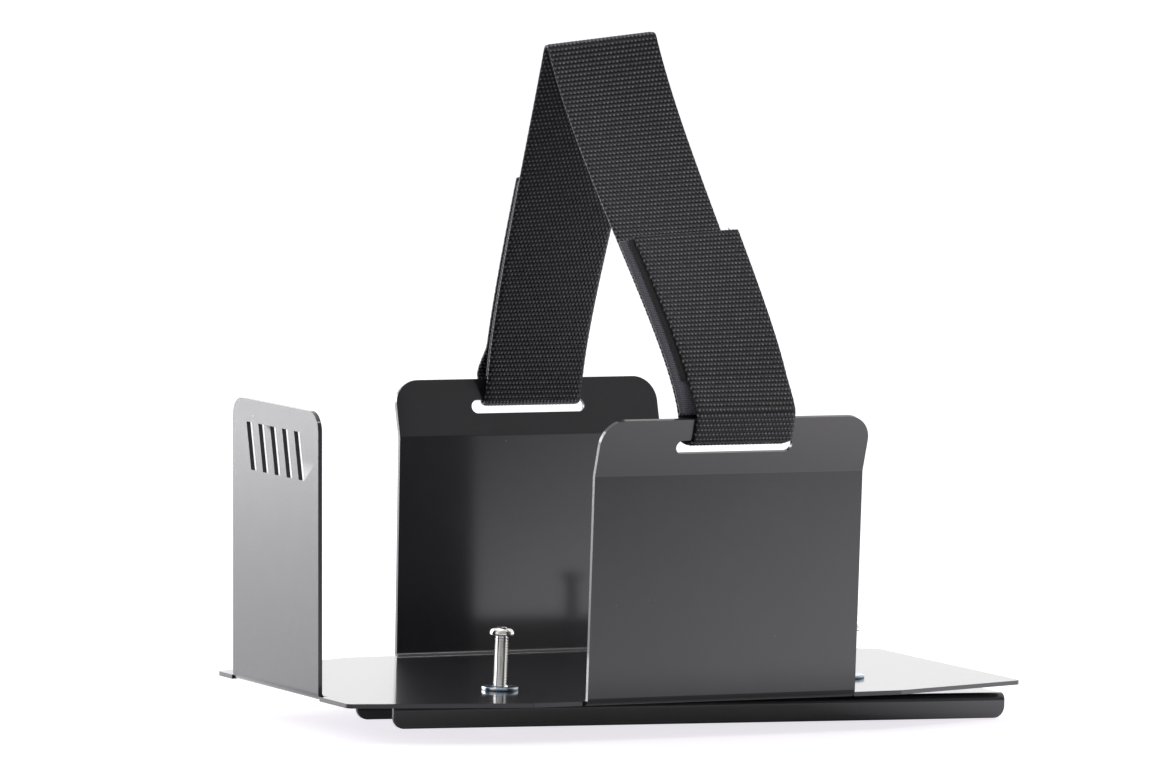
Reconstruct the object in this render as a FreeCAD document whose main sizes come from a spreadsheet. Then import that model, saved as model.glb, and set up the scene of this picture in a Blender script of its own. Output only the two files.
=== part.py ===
import FreeCAD, Part
import Sketcher
import math
import os

# Cooler rack: a folded sheet tray that a small cooler stands in, a clamp channel under it
# with two long screws, and a webbing strap that arches over the cooler and doubles back
# through a slot in each side wall. Millimetres, +Z up. The origin is the centre of the
# floor's underside, where the tray sits on the carrier that it is clamped to.

V = FreeCAD.Vector
doc = FreeCAD.newDocument("cooler_rack")

# Driving dimensions: one spreadsheet cell for each size that can be set by itself
SIZES = (
    ("sheet_thickness", 2.03, "tray sheet, powder coat included"),
    ("bend_radius", 1.6, "inside radius of every fold"),
    ("floor_length", 352.4, "tray floor, left end to right end"),
    ("floor_shift", 4.2, "the floor's middle lies this far left of the walls' middle"),
    ("long_edge", 192.0, "straight stretch of the front and rear edges"),
    ("end_edge", 136.6, "straight stretch of the left and right ends"),
    ("end_shift", 6.9, "the end edges' middle lies this far to the front"),
    ("floor_corner", 3.2, "corner radius of the floor"),
    ("relief", 1.2, "relief cut beside and behind each fold"),
    ("wall_span", 196.8, "front wall's outer face to rear wall's outer face"),
    ("edge_inset", 2.7, "the floor's front and rear edges behind the walls' outer faces"),
    ("wall_width", 139.6, "front and rear walls"),
    ("wall_height", 105.5, "height of the lip's fold above the floor's underside"),
    ("wall_lean", 1.8, "how far a side wall leans out at its lip's fold"),
    ("lip_rise", 25.9, "lip's height above its fold"),
    ("lip_flare", 7.5, "how far the lip flares out at its top"),
    ("lip_corner", 12.0, "corner radius of the lips"),
    ("slot_length", 60.3, "strap slot, end to end"),
    ("slot_width", 6.4, "strap slot"),
    ("slot_drop", 12.9, "slot's middle below the lip's top"),
    ("end_wall_width", 89.8, "left end wall"),
    ("end_wall_height", 132.0, "left end wall above the floor's underside"),
    ("end_wall_lean", 3.3, "how far the end wall leans out at its top"),
    ("end_wall_corner", 9.0, "corner radius of the end wall"),
    ("vent_height", 22.0, "slanted slots in the end wall"),
    ("vent_width", 5.6, "width of one slanted slot"),
    ("vent_pitch", 12.5, "from one slanted slot to the next"),
    ("vent_slant", 5.0, "sideways shift of a slot's top"),
    ("vent_drop", 21.5, "slots' middle below the end wall's top"),
    ("channel_length", 321.6, "clamp channel"),
    ("channel_width", 39.5, "clamp channel over its flanges"),
    ("channel_height", 11.8, "clamp channel"),
    ("channel_corner", 5.6, "corner radius of the flanges"),
    ("channel_forward", 42.7, "channel's middle lies this far to the front"),
    ("channel_shift", 10.4, "channel's middle lies this far to the right"),
    ("channel_tilt", 0.95, "degrees that the loose channel hangs down to the right"),
    ("channel_gap", 0.1, "play between channel and tray at the left end"),
    ("screw_spacing", 182.6, "between the two screws"),
    ("screw_shift", 5.0, "screws' middle lies this far to the right"),
    ("screw_size", 6.35, "screw thread, outside"),
    ("screw_length", 38.1, "below the head"),
    ("screw_standoff", 28.6, "head's underside above the channel"),
    ("head_size", 11.1, "button head"),
    ("head_height", 3.35, "button head"),
    ("head_rim", 0.84, "straight rim of the button head"),
    ("head_crown", 6.1, "flat top of the button head"),
    ("head_shoulder", 9.6, "button head at its shoulder, between rim and crown"),
    ("head_shoulder_drop", 1.0, "shoulder below the head's top"),
    ("tip_chamfer", 0.8, "chamfer of the screw's tip"),
    ("socket_size", 4.0, "hex socket across flats"),
    ("socket_depth", 2.1, "hex socket"),
    ("hole_play", 0.4, "radial play of the screw in the tray and the channel"),
    ("thread_play", 0.05, "radial play of the screw in its nut"),
    ("washer_size", 17.0, "flat washer, outside"),
    ("washer_thickness", 1.6, "flat washer"),
    ("nut_size", 11.1, "hex nut across flats"),
    ("nut_height", 5.56, "hex nut"),
    ("seat_play", 0.05, "between pieces that lie on each other"),
    ("web_width", 50.8, "strap webbing"),
    ("web_thickness", 1.6, "strap webbing"),
    ("tape_width", 48.0, "hook and loop tapes"),
    ("tape_thickness", 1.3, "hook and loop tapes, pressed together"),
    ("strap_play", 0.35, "between webbing and sheet"),
    ("peak_height", 299.0, "strap's peak above the floor's underside"),
    ("peak_back", 15.5, "strap's peak lies this far to the rear"),
    ("peak_left", 11.8, "strap's peak lies this far to the left"),
    ("peak_turn", 27.0, "degrees that the peak's fold is turned to the front"),
    ("peak_roll", 8.5, "degrees that the right end of the peak's fold is raised"),
    ("peak_fold", 2.6, "radius of the peak's fold"),
    ("peak_lean", 25.5, "degrees between the webbing and upright beside the peak"),
    ("front_pull", 0.2, "stiffness of the front leg above its slot, share of its rise"),
    ("rear_pull", 0.2, "stiffness of the rear leg above its slot, share of its rise"),
    ("rear_leave", 0.16, "how far the rear leg leans in as it leaves its slot, per unit up"),
    ("peak_pull", 0.4, "stiffness of both legs below the peak, share of their rise"),
    ("turn_delay", 1.3, "how late along a leg the peak's turn sets in, as a power"),
    ("front_left", 3.1, "front leg lies this far to the left at its slot"),
    ("rear_right", 2.1, "rear leg lies this far to the right at its slot"),
    ("front_skew", 6.4, "front end lies this far right of its leg"),
    ("front_lap", 103.0, "length of the front end above its slot"),
    ("rear_lap", 119.0, "length of the rear end above its slot"),
    ("join_rise", 16.0, "where a doubled end meets its leg, above the lip's top"),
    ("join_pull", 4.0, "how stiffly a doubled end bends between lip and leg"),
    ("lip_pass", 1.5, "how far a doubled end runs straight past the lip's top"),
)

sheet = doc.addObject("Spreadsheet::Sheet", "sizes")
sheet.Label = "sizes"
for row, (alias, value, meaning) in enumerate(SIZES, start=1):
    sheet.set("A%d" % row, meaning)
    sheet.set("B%d" % row, str(value))
    sheet.setAlias("B%d" % row, alias)
doc.recompute()


def size(alias):
    """The number in the spreadsheet's cell of that alias."""
    return float(sheet.get(alias))


def bind(thing, prop, formula):
    """Binds a property to the spreadsheet."""
    thing.setExpression(prop, formula)


# Sketches: closed outlines whose corners are bound to the spreadsheet
def origin_plane(body, role):
    for feature in body.Origin.OriginFeatures:
        if feature.Role == role:
            return feature
    raise RuntimeError("no origin plane " + role)


def new_sketch(body, name, role):
    sketch = body.newObject("Sketcher::SketchObject", name)
    sketch.AttachmentSupport = [(origin_plane(body, role), "")]
    sketch.MapMode = "FlatFace"
    return sketch


def outline(sketch, corners):
    """Adds a closed outline; a corner is (x, y, x formula, y formula), or (x, y) when other
    constraints place it."""
    first = sketch.GeometryCount
    count = len(corners)
    for i in range(count):
        a = corners[i]
        b = corners[(i + 1) % count]
        sketch.addGeometry(Part.LineSegment(V(a[0], a[1], 0), V(b[0], b[1], 0)), False)
    for i in range(count):
        sketch.addConstraint(Sketcher.Constraint(
            "Coincident", first + i, 2, first + (i + 1) % count, 1))
    for i, corner in enumerate(corners):
        if len(corner) == 4:
            place_corner(sketch, first + i, corner)
    return first


def place_corner(sketch, line, corner):
    """Binds the start of a line to two formulas, measured from the sketch's origin."""
    x, y, x_formula, y_formula = corner
    for kind, value, formula in (("DistanceX", x, x_formula), ("DistanceY", y, y_formula)):
        index = sketch.addConstraint(Sketcher.Constraint(kind, -1, 1, line, 1, value))
        bind(sketch, "Constraints[%d]" % index, formula)


def parallel_face(sketch, outer, inner):
    """Makes the inner line run one sheet thickness from the outer one."""
    sketch.addConstraint(Sketcher.Constraint("Parallel", outer, inner))
    index = sketch.addConstraint(Sketcher.Constraint(
        "Distance", inner, 1, outer, size("sheet_thickness")))
    bind(sketch, "Constraints[%d]" % index, "sizes.sheet_thickness")


def pad(body, name, sketch, formula, midplane=False):
    feature = body.newObject("PartDesign::Pad", name)
    feature.Profile = sketch
    feature.Midplane = midplane
    bind(feature, "Length", formula)
    doc.recompute()
    return feature


def pocket(body, name, sketch, formula):
    """Cuts a sketch out to both sides of its plane, and checks that something was cut."""
    before = body.Shape.Volume
    feature = body.newObject("PartDesign::Pocket", name)
    feature.Profile = sketch
    feature.Midplane = True
    bind(feature, "Length", formula)
    doc.recompute()
    if not body.Shape.Volume < before:
        raise RuntimeError(name + " cuts nothing")
    return feature


def fillet(body, name, formula, wanted):
    """Rounds the body's edges for which wanted(edge) holds."""
    base = body.Tip
    edges = ["Edge%d" % (i + 1) for i, edge in enumerate(base.Shape.Edges) if wanted(edge)]
    if not edges:
        raise RuntimeError(name + " finds no edge")
    feature = body.newObject("PartDesign::Fillet", name)
    feature.Base = (base, edges)
    bind(feature, "Radius", formula)
    doc.recompute()
    return feature


# How far an edge's middle may lie from the sharp corner that it is found by
CORNER_REACH = 0.6


def near(a, b):
    return abs(a - b) < 1e-3


def middle(edge):
    return edge.valueAt((edge.FirstParameter + edge.LastParameter) / 2)


def straight(edge):
    return len(edge.Vertexes) == 2 and isinstance(edge.Curve, (Part.Line, Part.LineSegment))


def runs_along(edge, axis):
    """Whether a straight edge runs along the given axis vector."""
    if not straight(edge):
        return False
    run = edge.Vertexes[1].Point - edge.Vertexes[0].Point
    return run.cross(axis).Length < 1e-4 * run.Length


T = size("sheet_thickness")
BEND = size("bend_radius")


def new_body(node):
    body = doc.addObject("PartDesign::Body", node)
    body.Label = node
    return body


# Tray: the floor, an octagon whose ends sit a little to the front, with relief cuts
def tray_floor(body):
    half_long = size("long_edge") / 2
    half_depth = size("wall_span") / 2 - size("edge_inset")
    half_end = size("end_edge") / 2
    left = -size("floor_length") / 2 - size("floor_shift")
    right = size("floor_length") / 2 - size("floor_shift")
    back = half_end - size("end_shift")
    front = -half_end - size("end_shift")
    x_left = "-sizes.floor_length / 2 - sizes.floor_shift"
    x_right = "sizes.floor_length / 2 - sizes.floor_shift"
    y_back = "sizes.end_edge / 2 - sizes.end_shift"
    y_front = "-sizes.end_edge / 2 - sizes.end_shift"
    y_edge = "(sizes.wall_span / 2 - sizes.edge_inset)"
    corners = (
        (left, front, x_left, y_front),
        (-half_long, -half_depth, "-sizes.long_edge / 2", "-" + y_edge),
        (half_long, -half_depth, "sizes.long_edge / 2", "-" + y_edge),
        (right, front, x_right, y_front),
        (right, back, x_right, y_back),
        (half_long, half_depth, "sizes.long_edge / 2", y_edge),
        (-half_long, half_depth, "-sizes.long_edge / 2", y_edge),
        (left, back, x_left, y_back),
    )
    sketch = new_sketch(body, "floor_outline", "XY_Plane")
    outline(sketch, corners)
    pad(body, "floor_plate", sketch, "sizes.sheet_thickness")
    fillet(body, "floor_corners", "sizes.floor_corner", lambda e: runs_along(e, V(0, 0, 1)))


def relief_cut(body, name, corners):
    """Takes the floor's edge away where a wall folds up."""
    sketch = new_sketch(body, name + "_outline", "XY_Plane")
    outline(sketch, corners)
    pocket(body, name, sketch, "4 * sizes.sheet_thickness")


def side_relief(body, name, side):
    half = size("wall_width") / 2 + size("relief")
    inner = side * (size("wall_span") / 2 - BEND - T - size("relief"))
    outer = side * size("wall_span")
    x_plus = "sizes.wall_width / 2 + sizes.relief"
    y_inner = "%d * (sizes.wall_span / 2 - sizes.bend_radius - sizes.sheet_thickness" \
        " - sizes.relief)" % side
    y_outer = "%d * sizes.wall_span" % side
    relief_cut(body, name, (
        (-half, inner, "-(" + x_plus + ")", y_inner),
        (half, inner, x_plus, y_inner),
        (half, outer, x_plus, y_outer),
        (-half, outer, "-(" + x_plus + ")", y_outer),
    ))


def end_relief(body):
    half = size("end_wall_width") / 2 + size("relief")
    face = -size("floor_length") / 2 - size("floor_shift")
    inner = face + BEND + T + size("relief")
    y_plus = "sizes.end_wall_width / 2 + sizes.relief"
    x_inner = "-sizes.floor_length / 2 - sizes.floor_shift + sizes.bend_radius" \
        " + sizes.sheet_thickness + sizes.relief"
    x_outer = "-sizes.floor_length"
    relief_cut(body, "end_relief", (
        (inner, -half, x_inner, "-(" + y_plus + ")"),
        (inner, half, x_inner, y_plus),
        (-size("floor_length"), half, x_outer, y_plus),
        (-size("floor_length"), -half, x_outer, "-(" + y_plus + ")"),
    ))


# Tray: a side wall with its flared lip, and its strap slot
LIP_ANGLE = math.atan2(size("lip_flare"), size("lip_rise"))
LIP_TOP = size("wall_height") + size("lip_rise")
LIP_TOP_OUT = size("wall_span") / 2 + size("wall_lean") + size("lip_flare")


def side_wall(body, name, side):
    """The wall's section, as a sharp outline one sheet thick whose folds are rounded after."""
    face = size("wall_span") / 2
    root = face - BEND - T - 2 * size("relief")
    rise = size("wall_height")
    fold = face + size("wall_lean")
    y_root = "%d * (sizes.wall_span / 2 - sizes.bend_radius - sizes.sheet_thickness" \
        " - 2 * sizes.relief)" % side
    y_face = "%d * sizes.wall_span / 2" % side
    y_fold = "%d * (sizes.wall_span / 2 + sizes.wall_lean)" % side
    y_top = "%d * (sizes.wall_span / 2 + sizes.wall_lean + sizes.lip_flare)" % side
    z_top = "sizes.wall_height + sizes.lip_rise"
    inward = T * math.cos(LIP_ANGLE)
    corners = (
        (side * root, 0, y_root, "0"),
        (side * face, 0, y_face, "0"),
        (side * fold, rise, y_fold, "sizes.wall_height"),
        (side * LIP_TOP_OUT, LIP_TOP, y_top, z_top),
        (side * (LIP_TOP_OUT - inward), LIP_TOP + T * math.sin(LIP_ANGLE)),
        (side * (fold - T), rise),
        (side * (face - T), T),
        (side * root, T),
    )
    sketch = new_sketch(body, name + "_section", "YZ_Plane")
    first = outline(sketch, corners)
    parallel_face(sketch, first + 0, first + 6)
    parallel_face(sketch, first + 1, first + 5)
    parallel_face(sketch, first + 2, first + 4)
    sketch.addConstraint(Sketcher.Constraint("Perpendicular", first + 2, first + 3))
    sketch.addConstraint(Sketcher.Constraint("Vertical", first + 7))
    pad(body, name, sketch, "sizes.wall_width", midplane=True)

    def across(edge):
        return runs_along(edge, V(1, 0, 0)) and near(abs(middle(edge).x), 0)

    def at(point):
        return lambda e: across(e) and (middle(e) - V(0, point[0], point[1])).Length < CORNER_REACH

    lean = size("wall_lean") / rise
    inner_foot = (side * (face - T + lean * T), T)
    inner_fold = (side * (fold - T / math.cos(LIP_ANGLE / 2)), rise)
    outer_fold = (side * fold, rise)
    fillet(body, name + "_foot_outside", "sizes.bend_radius + sizes.sheet_thickness",
           at((side * face, 0)))
    fillet(body, name + "_foot_inside", "sizes.bend_radius", at(inner_foot))
    fillet(body, name + "_lip_inside", "sizes.bend_radius + sizes.sheet_thickness",
           at(inner_fold))
    fillet(body, name + "_lip_outside", "sizes.bend_radius", at(outer_fold))
    lip_normal = V(0, side * math.cos(LIP_ANGLE), -math.sin(LIP_ANGLE))
    fillet(body, name + "_lip_corners", "sizes.lip_corner",
           lambda e: runs_along(e, lip_normal) and side * middle(e).y > 0
           and middle(e).z > LIP_TOP - T)


def slot_middle(side):
    """Centre of the strap slot, on the lip's outer face."""
    drop = size("slot_drop")
    return V(0, side * (LIP_TOP_OUT - drop * math.tan(LIP_ANGLE)), LIP_TOP - drop)


def strap_slot(body, name, side):
    """A round-ended slot, cut square to the lip."""
    half = (size("slot_length") - size("slot_width")) / 2
    radius = size("slot_width") / 2
    sketch = new_sketch(body, name + "_outline", "XZ_Plane")
    turn = FreeCAD.Rotation(V(-side, 0, 0), math.degrees(LIP_ANGLE))
    centre = slot_middle(side)
    sketch.AttachmentOffset = FreeCAD.Placement(V(0, centre.z, -centre.y), turn)
    bind(sketch, "AttachmentOffset.Base.y",
         "sizes.wall_height + sizes.lip_rise - sizes.slot_drop")
    bind(sketch, "AttachmentOffset.Base.z",
         "%d * (sizes.wall_span / 2 + sizes.wall_lean + sizes.lip_flare"
         " - sizes.slot_drop * sizes.lip_flare / sizes.lip_rise)" % -side)
    bind(sketch, "AttachmentOffset.Rotation.Angle",
         "atan(sizes.lip_flare / sizes.lip_rise)")
    sketch.addGeometry(Part.LineSegment(V(-half, -radius, 0), V(half, -radius, 0)), False)
    sketch.addGeometry(Part.LineSegment(V(half, radius, 0), V(-half, radius, 0)), False)
    right = Part.Circle(V(half, 0, 0), V(0, 0, 1), radius)
    left = Part.Circle(V(-half, 0, 0), V(0, 0, 1), radius)
    quarter = math.pi / 2
    sketch.addGeometry(Part.ArcOfCircle(right, -quarter, quarter), False)
    sketch.addGeometry(Part.ArcOfCircle(left, quarter, 3 * quarter), False)
    for a, a_end, b, b_end in ((0, 2, 2, 1), (2, 2, 1, 1), (1, 2, 3, 1), (3, 2, 0, 1)):
        sketch.addConstraint(Sketcher.Constraint("Tangent", a, a_end, b, b_end))
    sketch.addConstraint(Sketcher.Constraint("Horizontal", 0))
    sketch.addConstraint(Sketcher.Constraint("Symmetric", 2, 3, 3, 3, -1, 1))
    wide = sketch.addConstraint(Sketcher.Constraint("Radius", 2, radius))
    bind(sketch, "Constraints[%d]" % wide, "sizes.slot_width / 2")
    long = sketch.addConstraint(Sketcher.Constraint("DistanceX", 3, 3, 2, 3, 2 * half))
    bind(sketch, "Constraints[%d]" % long, "sizes.slot_length - sizes.slot_width")
    pocket(body, name, sketch, "6 * sizes.sheet_thickness")


# Tray: the left end wall with its row of slanted slots
def end_wall(body):
    face = -size("floor_length") / 2 - size("floor_shift")
    root = face + BEND + T + 2 * size("relief")
    rise = size("end_wall_height")
    lean = size("end_wall_lean")
    x_face = "-sizes.floor_length / 2 - sizes.floor_shift"
    x_root = x_face + " + sizes.bend_radius + sizes.sheet_thickness + 2 * sizes.relief"
    corners = (
        (root, 0, x_root, "0"),
        (face, 0, x_face, "0"),
        (face - lean, rise, x_face + " - sizes.end_wall_lean", "sizes.end_wall_height"),
        (face - lean + T, rise),
        (face + T, T),
        (root, T),
    )
    sketch = new_sketch(body, "end_wall_section", "XZ_Plane")
    first = outline(sketch, corners)
    parallel_face(sketch, first + 0, first + 4)
    parallel_face(sketch, first + 1, first + 3)
    sketch.addConstraint(Sketcher.Constraint("Perpendicular", first + 1, first + 2))
    sketch.addConstraint(Sketcher.Constraint("Vertical", first + 5))
    pad(body, "end_wall", sketch, "sizes.end_wall_width", midplane=True)

    def at(x, z):
        return lambda e: runs_along(e, V(0, 1, 0)) and near(middle(e).y, 0) \
            and (middle(e) - V(x, 0, z)).Length < CORNER_REACH

    fillet(body, "end_wall_foot_outside", "sizes.bend_radius + sizes.sheet_thickness",
           at(face, 0))
    fillet(body, "end_wall_foot_inside", "sizes.bend_radius", at(face + T, T))
    angle = math.atan2(lean, rise)
    normal = V(math.cos(angle), 0, math.sin(angle))
    fillet(body, "end_wall_corners", "sizes.end_wall_corner",
           lambda e: runs_along(e, normal) and middle(e).z > rise - T)


def end_wall_vents(body):
    """Plain slanted slots in a row, where the end wall is cut through."""
    height = size("vent_height")
    width = size("vent_width")
    slant = size("vent_slant")
    low = size("end_wall_height") - size("vent_drop") - height / 2
    z_low = "sizes.end_wall_height - sizes.vent_drop - sizes.vent_height / 2"
    z_high = "sizes.end_wall_height - sizes.vent_drop + sizes.vent_height / 2"
    for number in range(-2, 3):
        middle_y = number * size("vent_pitch")
        y_mid = "%d * sizes.vent_pitch" % number
        corners = []
        for sign_x, sign_z, z, z_formula in (
                (-1, -1, low, z_low), (1, -1, low, z_low),
                (1, 1, low + height, z_high), (-1, 1, low + height, z_high)):
            y = middle_y + sign_x * width / 2 + sign_z * slant / 2
            formula = "%s + %d * sizes.vent_width / 2 + %d * sizes.vent_slant / 2" % (
                y_mid, sign_x, sign_z)
            corners.append((y, z, formula, z_formula))
        sketch = new_sketch(body, "vent_outline_%d" % (number + 3), "YZ_Plane")
        outline(sketch, corners)
        shift = -size("floor_length") / 2 - size("floor_shift")
        sketch.AttachmentOffset = FreeCAD.Placement(V(0, 0, shift), FreeCAD.Rotation())
        bind(sketch, "AttachmentOffset.Base.z", "-sizes.floor_length / 2 - sizes.floor_shift")
        pocket(body, "vent_%d" % (number + 3), sketch,
               "6 * sizes.sheet_thickness + 2 * sizes.end_wall_lean")


# Clamp channel's place: its own frame starts at the middle of its left end, on its top
TILT = math.radians(size("channel_tilt"))
CHANNEL_LEFT = size("channel_shift") - size("channel_length") / 2 * math.cos(TILT)
SIDES = (("left", -1), ("right", 1))
ENDS = (("front", -1), ("rear", 1))


def channel_placement():
    base = V(CHANNEL_LEFT, -size("channel_forward"), -size("channel_gap"))
    return FreeCAD.Placement(base, FreeCAD.Rotation(V(0, 1, 0), size("channel_tilt")))


def place_with_channel(thing):
    """Sets a piece in the channel's tilted frame."""
    thing.Placement = channel_placement()
    bind(thing, "Placement.Base.x",
         "sizes.channel_shift - sizes.channel_length / 2 * cos(sizes.channel_tilt * 1 deg)")
    bind(thing, "Placement.Base.y", "-sizes.channel_forward")
    bind(thing, "Placement.Base.z", "-sizes.channel_gap")
    bind(thing, "Placement.Rotation.Angle", "sizes.channel_tilt * 1 deg")


def hole_x(side):
    """A screw hole's place along the tray's floor."""
    return size("screw_shift") + side * size("screw_spacing") / 2


def hole_along(side):
    """The same hole's place along the channel, from its left end."""
    run = hole_x(side) - CHANNEL_LEFT
    rise = size("channel_gap") + T / 2
    return run * math.cos(TILT) - rise * math.sin(TILT)


def hole_formula(side):
    run = "(sizes.screw_shift + %d * sizes.screw_spacing / 2 - sizes.channel_shift" \
        " + sizes.channel_length / 2 * cos(sizes.channel_tilt * 1 deg))" % side
    return run + " * cos(sizes.channel_tilt * 1 deg) - (sizes.channel_gap" \
        " + sizes.sheet_thickness / 2) * sin(sizes.channel_tilt * 1 deg)"


def round_hole(body, name, x, y, x_formula, y_formula, radius, radius_formula):
    sketch = new_sketch(body, name + "_outline", "XY_Plane")
    sketch.addGeometry(Part.Circle(V(x, y, 0), V(0, 0, 1), radius), False)
    for kind, value, formula in (("DistanceX", x, x_formula), ("DistanceY", y, y_formula)):
        index = sketch.addConstraint(Sketcher.Constraint(kind, -1, 1, 0, 3, value))
        bind(sketch, "Constraints[%d]" % index, formula)
    index = sketch.addConstraint(Sketcher.Constraint("Radius", 0, radius))
    bind(sketch, "Constraints[%d]" % index, radius_formula)
    pocket(body, name, sketch, "6 * sizes.sheet_thickness")


def floor_holes(body):
    for name, side in SIDES:
        x_formula = "sizes.screw_shift + %d * sizes.screw_spacing / 2" % side
        round_hole(body, "floor_hole_" + name, hole_x(side), -size("channel_forward"),
                   x_formula, "-sizes.channel_forward",
                   size("screw_size") / 2 + size("hole_play"),
                   "sizes.screw_size / 2 + sizes.hole_play")


def make_tray():
    body = new_body("tray")
    tray_floor(body)
    for name, side in (("front", -1), ("rear", 1)):
        side_relief(body, name + "_relief", side)
        side_wall(body, name + "_wall", side)
        strap_slot(body, name + "_slot", side)
    end_relief(body)
    end_wall(body)
    end_wall_vents(body)
    floor_holes(body)
    return body


def make_channel():
    """A bent channel, open below, with rounded flange corners."""
    body = new_body("clamp_channel")
    half = size("channel_width") / 2
    drop = -size("channel_height")
    y_out = "sizes.channel_width / 2"
    y_in = "(sizes.channel_width / 2 - sizes.sheet_thickness)"
    z_low = "-sizes.channel_height"
    z_web = "-sizes.sheet_thickness"
    corners = (
        (-half, 0, "-" + y_out, "0"),
        (-half, drop, "-" + y_out, z_low),
        (-half + T, drop, "-" + y_in, z_low),
        (-half + T, -T, "-" + y_in, z_web),
        (half - T, -T, y_in, z_web),
        (half - T, drop, y_in, z_low),
        (half, drop, y_out, z_low),
        (half, 0, y_out, "0"),
    )
    sketch = new_sketch(body, "channel_section", "YZ_Plane")
    outline(sketch, corners)
    pad(body, "channel_strip", sketch, "sizes.channel_length")
    fillet(body, "channel_bends_outside", "sizes.bend_radius + sizes.sheet_thickness",
           lambda e: runs_along(e, V(1, 0, 0)) and near(middle(e).z, 0))
    fillet(body, "channel_bends_inside", "sizes.bend_radius",
           lambda e: runs_along(e, V(1, 0, 0)) and near(middle(e).z, -T))
    fillet(body, "channel_corners", "sizes.channel_corner",
           lambda e: runs_along(e, V(0, 1, 0)) and near(middle(e).z, drop)
           and near(e.Length, T))
    for name, side in SIDES:
        round_hole(body, "channel_hole_" + name, hole_along(side), 0,
                   hole_formula(side), "0", size("screw_size") / 2 + size("hole_play"),
                   "sizes.screw_size / 2 + sizes.hole_play")
    place_with_channel(body)
    return body


# Fasteners
def make_screw(name, side):
    """A button-head screw with a hex socket, turned from one revolved outline."""
    body = new_body("screw_" + name)
    along = hole_along(side)
    radius = size("screw_size") / 2
    head = size("head_size") / 2
    rim = size("head_rim")
    crown = size("head_crown") / 2
    shoulder = size("head_shoulder") / 2
    seat = size("screw_standoff")
    top = seat + size("head_height")
    tip = seat - size("screw_length")
    chamfer = size("tip_chamfer")
    z_seat = "sizes.screw_standoff"
    z_top = z_seat + " + sizes.head_height"
    z_tip = z_seat + " - sizes.screw_length"
    axis = hole_formula(side)

    def corner(r, z, r_formula, z_formula):
        return (along + r, z, axis + " + " + r_formula, z_formula)

    corners = (
        corner(0, tip, "0", z_tip),
        corner(radius - chamfer, tip, "sizes.screw_size / 2 - sizes.tip_chamfer", z_tip),
        corner(radius, tip + chamfer, "sizes.screw_size / 2",
               z_tip + " + sizes.tip_chamfer"),
        corner(radius, seat, "sizes.screw_size / 2", z_seat),
        corner(head, seat, "sizes.head_size / 2", z_seat),
        corner(head, seat + rim, "sizes.head_size / 2",
               z_seat + " + sizes.head_rim"),
        corner(shoulder, top - size("head_shoulder_drop"), "sizes.head_shoulder / 2",
               z_top + " - sizes.head_shoulder_drop"),
        corner(crown, top, "sizes.head_crown / 2", z_top),
        corner(0, top, "0", z_top),
    )
    sketch = new_sketch(body, "screw_outline_" + name, "XZ_Plane")
    first = outline(sketch, corners)
    turned = body.newObject("PartDesign::Revolution", "screw_turned_" + name)
    turned.Profile = sketch
    turned.ReferenceAxis = (sketch, ["Edge%d" % (first + len(corners))])
    turned.Angle = 360
    doc.recompute()
    flats = size("socket_size") / 2
    corner_radius = flats / math.cos(math.pi / 6)
    socket = new_sketch(body, "socket_outline_" + name, "XY_Plane")
    socket.AttachmentOffset = FreeCAD.Placement(V(0, 0, top), FreeCAD.Rotation())
    bind(socket, "AttachmentOffset.Base.z", z_top)
    hexagon = []
    for k in range(6):
        turn = math.pi / 3 * k
        x_part = "cos(%d deg)" % (60 * k)
        y_part = "sin(%d deg)" % (60 * k)
        reach = "sizes.socket_size / 2 / cos(30 deg)"
        hexagon.append((along + corner_radius * math.cos(turn),
                        corner_radius * math.sin(turn),
                        axis + " + " + reach + " * " + x_part, reach + " * " + y_part))
    outline(socket, hexagon)
    pocket(body, "socket_" + name, socket, "2 * sizes.socket_depth")
    place_with_channel(body)
    return body


def make_nut(name, side):
    """A hex nut under the channel's web."""
    body = new_body("nut_" + name)
    along = hole_along(side)
    axis = hole_formula(side)
    corner_radius = size("nut_size") / 2 / math.cos(math.pi / 6)
    reach = "sizes.nut_size / 2 / cos(30 deg)"
    hexagon = []
    for k in range(6):
        turn = math.pi / 3 * k
        hexagon.append((along + corner_radius * math.cos(turn),
                        corner_radius * math.sin(turn),
                        "%s + %s * cos(%d deg)" % (axis, reach, 60 * k),
                        "%s * sin(%d deg)" % (reach, 60 * k)))
    sketch = new_sketch(body, "nut_outline_" + name, "XY_Plane")
    under = -T - size("seat_play") - size("nut_height")
    sketch.AttachmentOffset = FreeCAD.Placement(V(0, 0, under), FreeCAD.Rotation())
    bind(sketch, "AttachmentOffset.Base.z",
         "-sizes.sheet_thickness - sizes.seat_play - sizes.nut_height")
    outline(sketch, hexagon)
    pad(body, "nut_block_" + name, sketch, "sizes.nut_height")
    bore = new_sketch(body, "nut_bore_outline_" + name, "XY_Plane")
    bore.addGeometry(Part.Circle(V(along, 0, 0), V(0, 0, 1),
                                 size("screw_size") / 2 + size("thread_play")), False)
    for kind, value, formula in (("DistanceX", along, axis), ("DistanceY", 0, "0")):
        index = bore.addConstraint(Sketcher.Constraint(kind, -1, 1, 0, 3, value))
        bind(bore, "Constraints[%d]" % index, formula)
    index = bore.addConstraint(Sketcher.Constraint(
        "Radius", 0, size("screw_size") / 2 + size("thread_play")))
    bind(bore, "Constraints[%d]" % index, "sizes.screw_size / 2 + sizes.thread_play")
    pocket(body, "nut_bore_" + name, bore,
           "4 * (sizes.sheet_thickness + sizes.seat_play + sizes.nut_height)")
    place_with_channel(body)
    return body


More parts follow.
